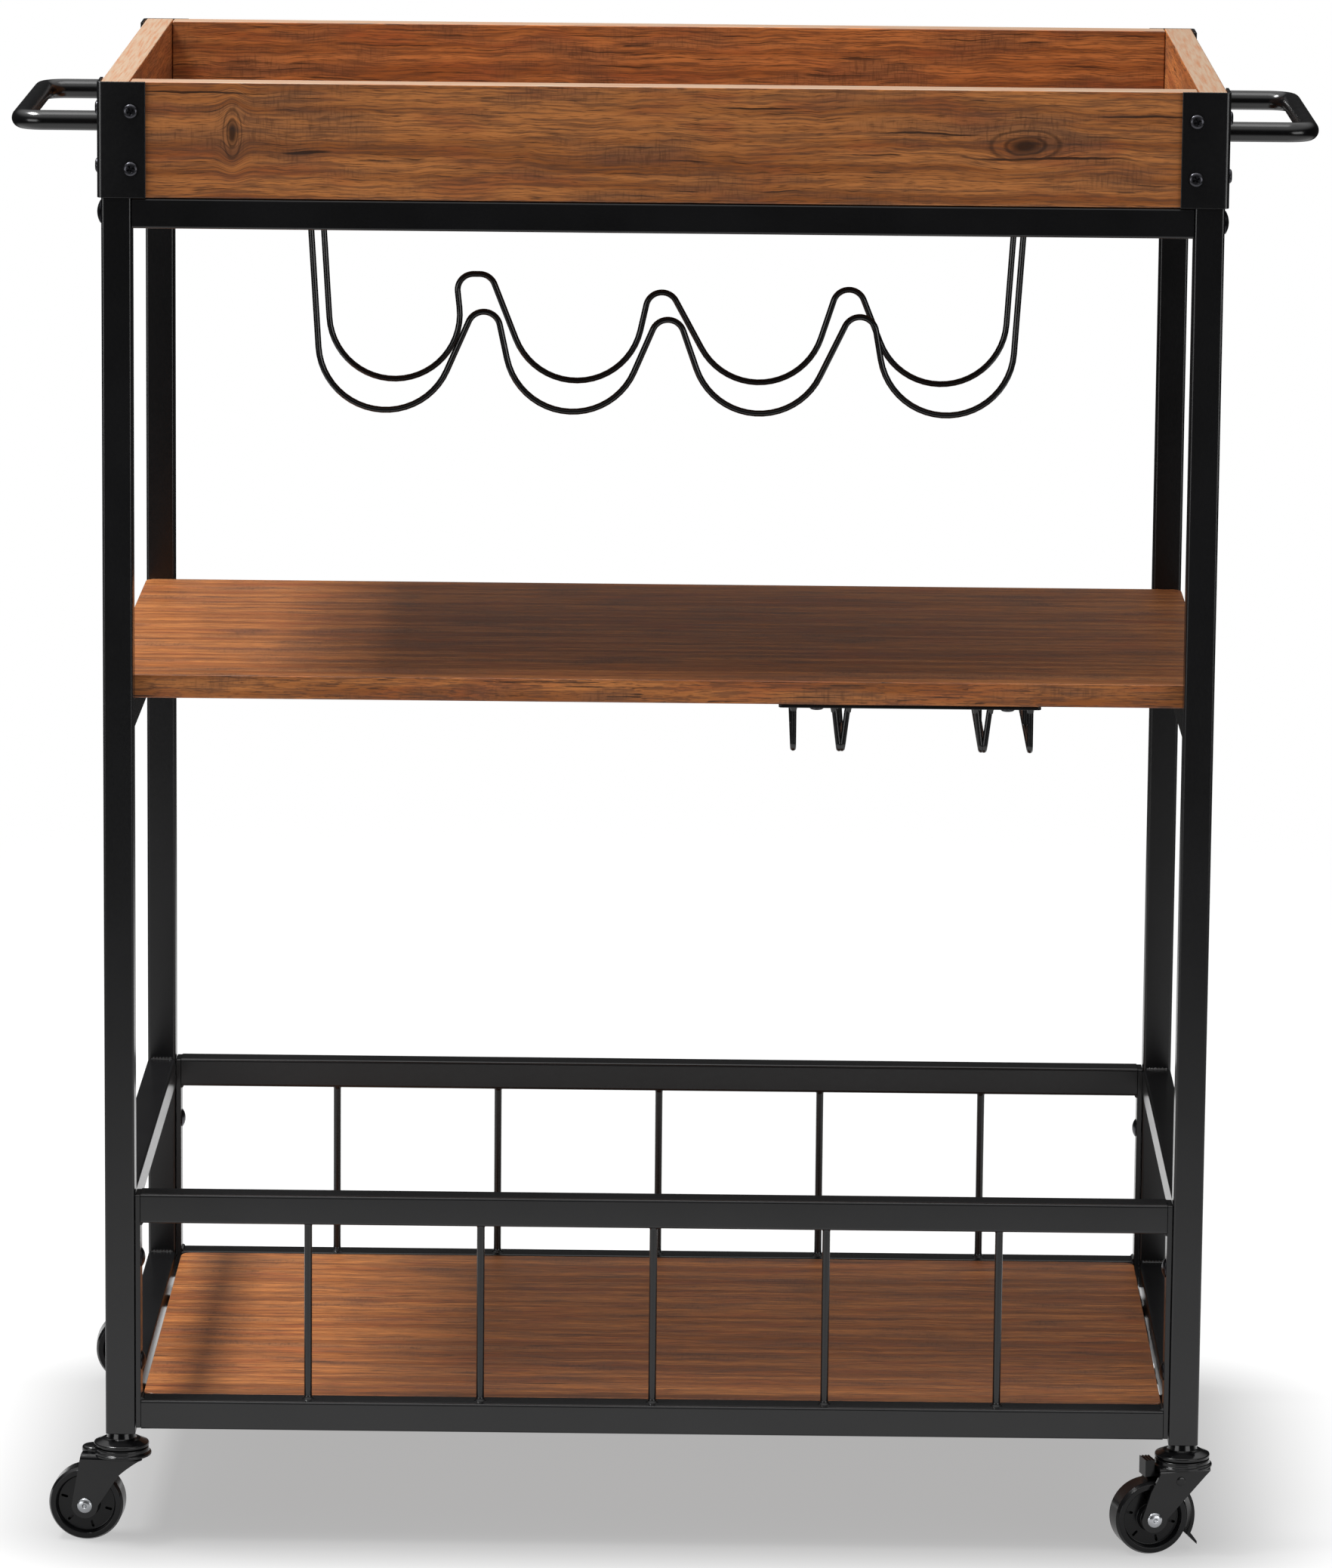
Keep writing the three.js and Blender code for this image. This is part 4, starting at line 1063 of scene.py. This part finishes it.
# Hand-bent crests of the bottle rack in millimetres: sideways shift, extra rise, half the flat on top
CRESTS = {
    "front": ((3, 2, 0), (1, -2, 0), (4, 1, 0)),
    "rear": ((-6, 8, 2), (-4, -3, 0), (-1, 0, 0)),
}


class CART_OT_bottle_rack(Operator):
    """Makes the two wavy wires under the tray that hold bottles, with their strips and screws"""

    bl_idname = "cart.bottle_rack"
    bl_label = "Bottle Rack"

    def execute(self, context):
        sizes = context.scene.cart_racks
        hardware = context.scene.cart_hardware
        gloss = finish_of(gloss_coated_wire, context)
        oxide = finish_of(black_oxide_steel, context)
        screw = phillips_screw(0.8 * hardware.screw_head / 2, 0.8 * hardware.screw_rise)
        cradle = sizes.pitch / 2 - sizes.crest - sizes.ease
        for end, crests in CRESTS.items():
            node = f"bottle_rack_{end}"
            low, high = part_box(node)
            middle = (low + high) / 2
            cradle_low = low.z + sizes.wire / 2
            first = middle.x - (sizes.cradles - 1) * sizes.pitch / 2
            bends = []
            for i in range(sizes.cradles):
                bends.append((first + i * sizes.pitch, cradle_low + cradle, cradle))
                if i < sizes.cradles - 1:
                    shift, extra, flat = (value * MM for value in crests[i])
                    x = first + (i + 0.5) * sizes.pitch + shift
                    z = cradle_low + sizes.rise + extra - sizes.crest
                    places = (x - flat, x + flat) if flat else (x,)
                    bends += [(place, z, -sizes.crest) for place in places]
            strip_low = high.z - sizes.strip
            left = (low.x + sizes.overhang, strip_low + 0.6 * MM)
            right = (high.x - sizes.overhang, strip_low + 0.6 * MM)
            bm = bmesh.new()
            path = belt(left, bends, right, math.radians(7))
            swept(bm, [(x, middle.y, z) for x, z in path], sizes.wire / 2)
            width = high.y - low.y
            slab(bm, high.x - low.x, width, strip_low, high.z, 2 * MM, 0.4 * MM, (middle.x, middle.y))
            for x, z in (left, right):
                half = 0.8 * sizes.wire
                bead(bm, (x - half, middle.y, strip_low), (x + half, middle.y, strip_low), 0.62 * sizes.wire)
            add_piece(f"wire_{node}", bm, "frame", [gloss], [node])
            screws = bmesh.new()
            for x in (low.x + sizes.overhang / 2, middle.x, high.x - sizes.overhang / 2):
                seat = Matrix.Translation((x, middle.y, strip_low)) @ Matrix.Rotation(math.pi, 4, "X")
                add_copy(screws, screw, seat)
            add_piece(f"screws_{node}", screws, "frame", [oxide])
        screw.free()
        return {"FINISHED"}


class CART_OT_glass_rack(Operator):
    """Makes the wires under the middle shelf that hold stemmed glasses, with their strips and screws"""

    bl_idname = "cart.glass_rack"
    bl_label = "Glass Rack"

    def execute(self, context):
        sizes = context.scene.cart_racks
        hardware = context.scene.cart_hardware
        gloss = finish_of(gloss_coated_wire, context)
        oxide = finish_of(black_oxide_steel, context)
        wire = sizes.glass_wire / 2
        strip_low, strip_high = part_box("glass_rack_strip_front")
        strip_y = (strip_low.y + strip_high.y) / 2
        wires = [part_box(f"glass_rack_wire_{name}") for name in ("left", "middle", "right")]
        feet = [x for low, high in wires for x in (low.x + wire, high.x - wire)]
        # Where two wires meet, their feet lie in one weld and their legs part like a V
        tops = list(feet)
        for left, right in ((1, 2), (3, 4)):
            middle = (feet[left] + feet[right]) / 2
            for number, way in ((left, -1), (right, 1)):
                tops[number] = feet[number] + way * sizes.glass_lean
                feet[number] = middle + way * sizes.glass_weld
        for number, name in enumerate(("left", "middle", "right")):
            low, high = wires[number]
            foot = low.z + wire
            bm = bmesh.new()
            for k in (2 * number, 2 * number + 1):
                top = (tops[k], strip_y, strip_high.z - 1 * MM)
                stations = [(feet[k], high.y, foot), (feet[k], strip_y, foot), top]
                swept(bm, bent_run(stations, sizes.glass_bend, 8), wire)
                fillet = [(1.55, 0.0), (1.3, 0.5), (1.1, 1.1), (0.95, 2.0)]
                levels = [
                    (wire * grow, strip_high.z - sizes.glass_strip - drop * wire) for grow, drop in fillet
                ]
                lean = Matrix.Translation((tops[k], strip_y, 0))
                turned(bm, [(0, levels[0][1]), *levels, (0, levels[-1][1])], lean, 18)
            node = f"glass_rack_wire_{name}"
            add_piece(f"loop_{node}", bm, "frame", [gloss], [node])
        screw = phillips_screw(hardware.screw_head / 2, 0.9 * hardware.screw_rise)
        slot_middles = ((feet[0] + feet[1]) / 2, (feet[4] + feet[5]) / 2)
        for end in ENDS:
            node = f"glass_rack_strip_{end}"
            low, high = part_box(node)
            middle = (low + high) / 2
            plate_low = high.z - sizes.glass_strip
            width = strip_high.y - strip_low.y
            bm = bmesh.new()
            slab(bm, high.x - low.x, width, plate_low, high.z, 2 * MM, 0.35 * MM, (middle.x, middle.y))
            if end == "rear":
                for x in (feet[0], (feet[1] + feet[2]) / 2, (feet[3] + feet[4]) / 2, feet[5]):
                    swept(
                        bm,
                        [(x, middle.y, low.z), (x, middle.y, low.z + wire), (x, middle.y, high.z - 1 * MM)],
                        wire,
                    )
                    bead(bm, (x - wire, middle.y, plate_low), (x + wire, middle.y, plate_low), 0.8 * wire)
            add_piece(f"strip_{node}", bm, "frame", [gloss], [node])
            screws = bmesh.new()
            for x in slot_middles:
                seat = Matrix.Translation((x, middle.y, plate_low)) @ Matrix.Rotation(math.pi, 4, "X")
                add_copy(screws, screw, seat)
            add_piece(f"screws_{node}", screws, "frame", [oxide])
        screw.free()
        return {"FINISHED"}


# ---- Casters ---------------------------------------------------------------------------------
# Each caster is drawn about its own swivel axis, with the wheel trailing towards +x.


def caster_place(corner):
    """Place of a caster's own frame, and how far the wheel trails."""
    swivel = Vector(JOINTS[f"swivel_{corner}"]["pos_m"])
    offset = Vector(JOINTS[f"roll_{corner}"]["pos_m"]) - swivel
    heading = math.atan2(offset.y, offset.x)
    place = Matrix.Translation((swivel.x, swivel.y, 0)) @ Matrix.Rotation(heading, 4, "Z")
    return place, math.hypot(offset.x, offset.y)


def wheel_size():
    """Radius and width of a wheel."""
    _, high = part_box("caster_wheel_front_left")
    return high.z / 2, 20 * MM


def crown_levels(sizes):
    """Heights of the crown's underside, its sheet's top and its cup's top."""
    under = 2 * wheel_size()[0] + sizes.crown_gap
    return under, under + sizes.sheet, under + sizes.sheet + sizes.cup


class CART_OT_caster_stems(Operator):
    """Makes the fixed part of each caster: upper race, neck, kingpin and plug"""

    bl_idname = "cart.caster_stems"
    bl_label = "Caster Stems"

    def execute(self, context):
        sizes = context.scene.cart_casters
        paint = finish_of(dip_painted_pressing, context)
        _, _, cup_top = crown_levels(sizes)
        for corner in CORNERS:
            node = f"caster_stem_{corner}"
            low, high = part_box(node)
            race_low = cup_top + GAP
            race_top, neck_top = race_low + 4.8 * MM, POST_MIDDLE.z - POST_SIZE.z / 2
            plug = TUBE / 2 - context.scene.cart_frame.wall - GAP
            corners_of = [
                (6.7 * MM, low.z), (6.7 * MM, low.z + 1.9 * MM),
                (5 * MM, low.z + 1.9 * MM), (5 * MM, race_low),
                (sizes.race, race_low), (sizes.race + 0.2 * MM, race_low + 2.6 * MM),
                (12.4 * MM, race_top), (9.4 * MM, race_top + 0.4 * MM), (8.6 * MM, neck_top - GAP),
                (plug, neck_top - GAP), (plug, high.z),
            ]
            profile = rounded([(0, low.z), *corners_of, (0, high.z)], 1.1 * MM, 5, closed=False)
            bm = bmesh.new()
            turned(bm, profile, caster_place(corner)[0], 64)
            add_piece(f"race_{node}", bm, "frame", [paint], [node])
        return {"FINISHED"}


class CART_OT_caster_forks(Operator):
    """Makes the swivelling forks, pressed and bent from sheet"""

    bl_idname = "cart.caster_forks"
    bl_label = "Caster Forks"

    def execute(self, context):
        sizes = context.scene.cart_casters
        paint = finish_of(dip_painted_pressing, context)
        for corner in CORNERS:
            place, trail = caster_place(corner)
            bm = caster_fork(sizes, trail, corner in BRAKED)
            bm.transform(place)
            node = f"caster_fork_{corner}"
            add_piece(f"fork_{node}", bm, f"fork_{corner}", [paint], [node], bevel=0.3 * MM)
        return {"FINISHED"}


def caster_fork(sizes, trail, braked):
    """Sheet bent to an upside-down U, trimmed to the leg's outline and joined to the pressed crown."""
    radius, width = wheel_size()
    under, sheet_top, cup_top = crown_levels(sizes)
    inside = width / 2 + sizes.fork_side
    outside = inside + sizes.sheet
    outer = rounded(
        [(-outside, 0), (-outside, sheet_top), (outside, sheet_top), (outside, 0)],
        sizes.bend, 6, False,
    )
    inner = rounded(
        [(inside, 0), (inside, under), (-inside, under), (-inside, 0)],
        sizes.bend - sizes.sheet, 6, False,
    )
    sheet = bmesh.new()
    section = [Vector(point) for point in (*outer, *inner)]
    bent = [[Vector((x, p.x, p.y)) for p in section] for x in (-30 * MM, 40 * MM)]
    loft(sheet, bent, cap=True)
    front = -15 * MM
    waist = under - 13 * MM
    back = trail + 2.5 * MM
    crown_end = sizes.crown - 2 * GAP if braked else back
    above = sheet_top + 1 * MM
    if braked:
        lead = [(front, above), (front, under - 1 * MM), (front + 3 * MM, under - 4 * MM)]
    else:
        lead = [(front, above), (front, under - 0.5 * MM)]
        for k in range(1, 8):
            share = k / 8
            x = front * (1 - share) ** 2 + 2 * share * (1 - share) * (-5 * MM) + share * share * (2 * MM)
            z = under * (1 - share) ** 2 + 2 * share * (1 - share) * (under - 6 * MM) + share * share * waist
            lead.append((x, z))
    eye = arc((trail, radius), sizes.eye, 180, 360, 20)
    tail = [(back, waist), (crown_end, under - 2 * MM), (crown_end, above)] if braked else [(back, above)]
    outline = [*lead, *eye, *tail]
    trim = bmesh.new()
    across = Matrix.Rotation(math.pi / 2, 4, "X")
    plate(trim, outline, -20 * MM, 20 * MM, across)
    bm = combine(sheet, trim, "INTERSECT")
    crown = bmesh.new()
    hole = 5 * MM + GAP
    profile = [
        (hole, under), (sizes.crown, under),
        (sizes.crown, sheet_top), (sizes.race, sheet_top + 0.5 * MM),
    ]
    profile += [(sizes.race, cup_top), (hole, cup_top)]
    turned(crown, rounded([Vector(p) for p in profile], 0.9 * MM, 4), sides=64)
    bm = combine(bm, crown, "UNION")
    if not braked:
        tongue = bmesh.new()
        shape = [(0, under + 0.5 * MM), (8 * MM, under + 0.5 * MM), (8 * MM, cup_top), (0, cup_top)]
        middle = Matrix.Translation((trail - 4.5 * MM, 0, 0))
        turned(tongue, rounded(shape, 1.8 * MM, 5, closed=False), middle, 40)
        bm = combine(bm, tongue, "UNION")
    return bm


class CART_OT_caster_wheels(Operator):
    """Makes the moulded wheels with their slotted webs"""

    bl_idname = "cart.caster_wheels"
    bl_label = "Caster Wheels"

    def execute(self, context):
        sizes = context.scene.cart_casters
        nylon = finish_of(moulded_nylon, context)
        radius, width = wheel_size()
        half = width / 2
        web = sizes.web / 2
        side = [
            (sizes.axle / 2 + GAP, -half + GAP), (sizes.hub, -half + GAP), (sizes.hub + 0.6 * MM, -web),
            (sizes.rim - 0.8 * MM, -web), (sizes.rim, -half),
            (radius - 1.4 * MM, -half), (radius, -half + 3 * MM),
        ]
        profile = side + [(r, -z) for r, z in reversed(side)]
        wheel = bmesh.new()
        turned(wheel, rounded([Vector(p) for p in profile], 0.7 * MM, 4), ALONG_Y, 72)
        slots = bmesh.new()
        for k in range(6):
            turn = Matrix.Rotation(math.tau * (k + 0.25) / 6, 4, "Z")
            place = ALONG_Y @ turn @ Matrix.Translation((14.7 * MM, 0, 0))
            for low, high in ((-half, sizes.slot - web), (web - sizes.slot, half)):
                plate(slots, rectangle(4.6 * MM, 1.7 * MM, 0.8 * MM), low, high, place)
        wheel = combine(wheel, slots, "DIFFERENCE")
        for corner in CORNERS:
            place, trail = caster_place(corner)
            bm = bmesh.new()
            add_copy(bm, wheel, place @ Matrix.Translation((trail, 0, radius)))
            node = f"caster_wheel_{corner}"
            add_piece(f"tyre_{node}", bm, f"wheel_{corner}", [nylon], [node])
        wheel.free()
        return {"FINISHED"}


class CART_OT_caster_axles(Operator):
    """Makes the headed axles and brake pins"""

    bl_idname = "cart.caster_axles"
    bl_label = "Caster Axles"

    def execute(self, context):
        sizes = context.scene.cart_casters
        zinc = finish_of(zinc_plated_steel, context)
        paint = finish_of(dip_painted_pressing, context)
        radius, width = wheel_size()
        reach = width / 2 + sizes.fork_side + sizes.sheet + GAP
        for corner in CORNERS:
            place, trail = caster_place(corner)
            bm = bmesh.new()
            middle = place @ Matrix.Translation((trail, 0, radius))
            headed_pin(bm, middle, sizes.axle / 2, sizes.axle_head / 2, 2 * MM, reach, 1.5 * MM)
            node = f"caster_axle_{corner}"
            add_piece(f"pin_{node}", bm, f"fork_{corner}", [zinc], [node])
            if corner in BRAKED:
                bm = bmesh.new()
                x, z = brake_pin_place(trail)
                middle = place @ Matrix.Translation((x, 0, z))
                headed_pin(bm, middle, sizes.brake_pin / 2, 3 * MM, 0.5 * MM, reach, 0)
                node = f"brake_pin_{corner}"
                add_piece(f"pin_{node}", bm, f"fork_{corner}", [paint], [node])
        return {"FINISHED"}


def headed_pin(bm, place, shank, head, rise, reach, dimple):
    """Pin across the fork with a domed head outside each leg."""
    crown = arc((0, reach), 1.0, 90, 8, 8)
    dome = [(head * x, reach + rise * (z - reach)) for x, z in crown]
    if dimple:
        dome = [
            (0, reach + 0.55 * rise), (0.6 * dimple, reach + 0.6 * rise),
            (dimple, reach + 0.92 * rise), *dome[2:],
        ]
    half = [*dome, (head, reach), (shank, reach)]
    turned(bm, [*half, *[(r, -z) for r, z in reversed(half)]], place @ ALONG_Y, 36)


def brake_pin_place(trail):
    """Place of the brake's pin in the caster's own frame."""
    radius = wheel_size()[0]
    distance, angle = radius + 6 * MM, math.radians(125)
    return trail + distance * math.cos(angle), radius + distance * math.sin(angle)


class CART_OT_brakes(Operator):
    """Makes the brake rockers, bent round the wheel from step block to toe"""

    bl_idname = "cart.brakes"
    bl_label = "Brake Rockers"

    def execute(self, context):
        sizes = context.scene.cart_casters
        nylon = finish_of(moulded_nylon, context)
        for corner in BRAKED:
            place, trail = caster_place(corner)
            bm = brake_rocker(sizes, trail)
            bm.transform(place)
            node = f"brake_rocker_{corner}"
            add_piece(
                f"lever_{node}", bm, f"brake_{corner}", [nylon], [node], bevel=0.35 * MM
            )
        return {"FINISHED"}


def brake_rocker(sizes, trail):
    """Rocker with a ribbed step block behind the crown, an eye on its pin and a toe."""
    radius = wheel_size()[0]
    cup_top = crown_levels(sizes)[2]
    inner = radius + sizes.brake_air
    outer = inner + sizes.brake_sheet
    start = sizes.crown + 1.1 * MM
    block = 6.2 * MM
    top = cup_top + 1 * MM
    block_angle = math.degrees(math.acos((start - trail) / outer))
    from_top = math.degrees(math.acos((start + block - trail) / inner))
    to_toe = 208
    toe = arc((trail, radius), inner, to_toe, to_toe, 1)[0]
    tip = (toe[0] - 7 * MM, toe[1] - 7 * MM)
    steps = 26
    outline = arc((trail, radius), inner, from_top, to_toe, steps)
    outline += [tip, (tip[0], tip[1] + 2 * MM)]
    outline += arc(
        (trail, radius), outer, to_toe - math.degrees(sizes.brake_sheet / outer), block_angle, steps
    )
    outline.append((start, top))
    ribs = 3
    for k in range(ribs):
        x = start + block * (k + 0.5) / ribs
        outline += [(x - 0.5 * MM, top), (x - 0.3 * MM, top - 0.5 * MM), (x + 0.3 * MM, top - 0.5 * MM)]
        outline.append((x + 0.5 * MM, top))
    outline.append((start + block, top))
    half = sizes.brake_width / 2
    across = Matrix.Rotation(math.pi / 2, 4, "X")
    bm = bmesh.new()
    plate(bm, outline, -half, half, across)
    x, z = brake_pin_place(trail)
    at_pin = Matrix.Translation((x, 0, z)) @ ALONG_Y
    eye = bmesh.new()
    turned(eye, [(0, -half), (4.2 * MM, -half), (4.2 * MM, half), (0, half)], at_pin)
    bm = combine(bm, eye, "UNION")
    drill = bmesh.new()
    bore = sizes.brake_pin / 2 + GAP
    turned(drill, [(0, -2 * half), (bore, -2 * half), (bore, 2 * half), (0, 2 * half)], at_pin)
    return combine(bm, drill, "DIFFERENCE")


# ---- Stage -----------------------------------------------------------------------------------


class CART_OT_stage(Operator):
    """Makes the floor, the studio lights and the camera"""

    bl_idname = "cart.stage"
    bl_label = "Stage"

    def execute(self, context):
        scene = context.scene
        scene.view_settings.view_transform = "Standard"
        add_floor(scene)
        add_world(scene)
        # Name, size across and along, place, aim, watts
        lamps = [
            ("key_softbox", 1.2, 0.6, (-1.4, -0.1, 3.1), (-0.2, 0.0, 0.5), 140.0),
            ("overhead_softbox", 1.4, 1.2, (0.0, -0.1, 2.9), (0.0, 0.0, 0.4), 16.0),
            ("front_left_fill", 2.6, 1.4, (-3.0, -3.2, 0.75), (0.0, 0.0, 0.75), 42.0),
            ("front_right_fill", 2.6, 1.4, (3.0, -3.2, 0.75), (0.0, 0.0, 0.75), 40.0),
        ]
        for name, width, height, place, aim, watts in lamps:
            lamp = bpy.data.lights.new(name, "AREA")
            lamp.shape = "RECTANGLE"
            lamp.size, lamp.size_y, lamp.energy = width, height, watts
            light = bpy.data.objects.new(name, lamp)
            light.location = place
            light.rotation_euler = (Vector(aim) - Vector(place)).to_track_quat("-Z", "Y").to_euler()
            light.visible_camera = False
            scene.collection.objects.link(light)
        add_camera(scene)
        return {"FINISHED"}


def add_floor(scene):
    """Round floor that fades out, so that the paper behind it stays white."""
    radius, steps = 2.6, 96
    bm = bmesh.new()
    loft(bm, [[(0, 0, 0)], [(x, y, 0) for x, y in arc((0, 0), radius, 0, 360, steps)[:-1]]])
    bmesh.ops.recalc_face_normals(bm, faces=bm.faces)
    mesh = bpy.data.meshes.new("studio_floor")
    bm.to_mesh(mesh)
    bm.free()
    # Matt seamless paper, rolled: an even white with a faint fibre
    material, tree, shader = new_material(
        "seamless_paper", Roughness=0.9, Specular_IOR_Level=0.1, Base_Color=scene.cart_finishes.floor,
        Emission_Color=(1, 1, 1, 1),
    )
    coords = add_node(tree, "ShaderNodeTexCoord")
    fibre = add_node(tree, "ShaderNodeTexNoise", {"Scale": 1000 / 3}, {"Vector": coords.outputs["Object"]})
    bump = add_node(
        tree, "ShaderNodeBump", {"Strength": 0.1, "Distance": 0.05 * MM}, {"Height": fibre.outputs["Fac"]}
    )
    tree.links.new(bump.outputs["Normal"], shader.inputs["Normal"])
    # The paper glows evenly and glows less under the cart: a painted shadow, flat and soft, set by position
    # and not cast by the lamps
    painted_shadow_corner, painted_shadow_edge = (0.32, 0.17, 0.0), 0.17
    painted_shadow_glow, open_glow = 0.43, 0.97
    past_corner = (
        {"operation": "ABSOLUTE"},
        {"operation": "SUBTRACT", 1: painted_shadow_corner},
        {"operation": "MAXIMUM", 1: (0.0, 0.0, 0.0)},
    )
    here = coords.outputs["Object"]
    for settings in past_corner:
        here = add_node(tree, "ShaderNodeVectorMath", settings, {0: here}).outputs["Vector"]
    outside = add_node(tree, "ShaderNodeVectorMath", {"operation": "LENGTH"}, {0: here})
    glow = add_node(
        tree, "ShaderNodeMapRange",
        {
            "interpolation_type": "SMOOTHSTEP", "From Min": 0.0, "From Max": painted_shadow_edge,
            "To Min": painted_shadow_glow, "To Max": open_glow,
        },
        {"Value": outside.outputs["Value"]},
    )
    tree.links.new(glow.outputs["Result"], shader.inputs["Emission Strength"])
    fade_start, fade_end = 0.9, 2.3
    away = add_node(tree, "ShaderNodeVectorMath", {"operation": "LENGTH"}, {0: coords.outputs["Object"]})
    fade = add_node(
        tree, "ShaderNodeMapRange",
        {
            "interpolation_type": "SMOOTHSTEP", "From Min": fade_start, "From Max": fade_end,
            "To Min": 1.0, "To Max": 0.0,
        },
        {"Value": away.outputs["Value"]},
    )
    tree.links.new(fade.outputs["Result"], shader.inputs["Alpha"])
    mesh.materials.append(material)
    floor = bpy.data.objects.new("studio_floor", mesh)
    scene.collection.objects.link(floor)


def add_world(scene):
    """White paper behind the cart. What the cart reflects is a room that is bright above and dim below."""
    world = bpy.data.worlds.new("studio")
    scene.world = world
    world.use_nodes = True
    tree = world.node_tree
    tree.nodes.clear()
    coords = add_node(tree, "ShaderNodeTexCoord")
    parts = add_node(tree, "ShaderNodeSeparateXYZ", links={"Vector": coords.outputs["Generated"]})
    dim_height, bright_height = 0.3, 0.85
    dim, bright = 0.02, 1.3
    rise = add_node(
        tree, "ShaderNodeMapRange",
        {
            "interpolation_type": "SMOOTHSTEP", "From Min": dim_height, "From Max": bright_height,
            "To Min": dim, "To Max": bright,
        },
        {"Value": parts.outputs["Z"]},
    )
    room = add_node(
        tree, "ShaderNodeBackground", {"Color": (1, 1, 1, 1)}, {"Strength": rise.outputs["Result"]}
    )
    paper = add_node(tree, "ShaderNodeBackground", {"Color": (1, 1, 1, 1), "Strength": 1.0})
    path = add_node(tree, "ShaderNodeLightPath")
    mix = add_node(
        tree, "ShaderNodeMixShader", links={
            0: path.outputs["Is Camera Ray"], 1: room.outputs["Background"], 2: paper.outputs["Background"],
        },
    )
    add_node(tree, "ShaderNodeOutputWorld", links={"Surface": mix.outputs["Shader"]})


def add_camera(scene):
    """Long lens well in front of the cart and a little above it."""
    yaw, pitch, roll = -0.0062, 0.1887, 0.0093
    forward = Vector((math.sin(yaw) * math.cos(pitch), math.cos(yaw) * math.cos(pitch), -math.sin(pitch)))
    level = Vector((math.cos(yaw), -math.sin(yaw), 0))
    over = level.cross(forward)
    right = math.cos(roll) * level + math.sin(roll) * over
    up = math.cos(roll) * over - math.sin(roll) * level
    data = bpy.data.cameras.new("camera")
    data.lens, data.sensor_width, data.clip_end = 186.93, 36.0, 50.0
    camera = bpy.data.objects.new("camera", data)
    turn = Matrix((right, up, -forward)).transposed().to_4x4()
    camera.matrix_world = Matrix.Translation((0.0366, -5.24895, 1.46207)) @ turn
    scene.collection.objects.link(camera)
    scene.camera = camera


# ---- Add-on ----------------------------------------------------------------------------------

BUILDERS = (
    CART_OT_tubes, CART_OT_rail_bolts, CART_OT_basket, CART_OT_shelves, CART_OT_tray, CART_OT_brackets,
    CART_OT_handles, CART_OT_bottle_rack, CART_OT_glass_rack, CART_OT_caster_stems, CART_OT_caster_forks,
    CART_OT_caster_wheels, CART_OT_caster_axles, CART_OT_brakes, CART_OT_stage,
)


class CART_PT_panel(Panel):
    """Sidebar panel that lists the cart's builders"""

    bl_idname = "CART_PT_panel"
    bl_label = "Bar Cart"
    bl_space_type = "VIEW_3D"
    bl_region_type = "UI"
    bl_category = "Bar Cart"

    def draw(self, context):
        for builder in BUILDERS:
            self.layout.operator(builder.bl_idname)


GROUPS = {
    "cart_frame": FrameSizes, "cart_hardware": HardwareSizes, "cart_racks": RackSizes,
    "cart_casters": CasterSizes, "cart_finishes": Finishes,
}


def register():
    for cls in (*GROUPS.values(), *BUILDERS, CART_PT_panel):
        bpy.utils.register_class(cls)
    for name, group in GROUPS.items():
        setattr(bpy.types.Scene, name, PointerProperty(type=group))


def unregister():
    for name in GROUPS:
        delattr(bpy.types.Scene, name)
    for cls in (CART_PT_panel, *reversed(BUILDERS), *reversed(GROUPS.values())):
        bpy.utils.unregister_class(cls)


def main():
    register()
    for builder in BUILDERS:
        getattr(bpy.ops.cart, builder.bl_idname.split(".")[1])()


if __name__ == "__main__":
    main()
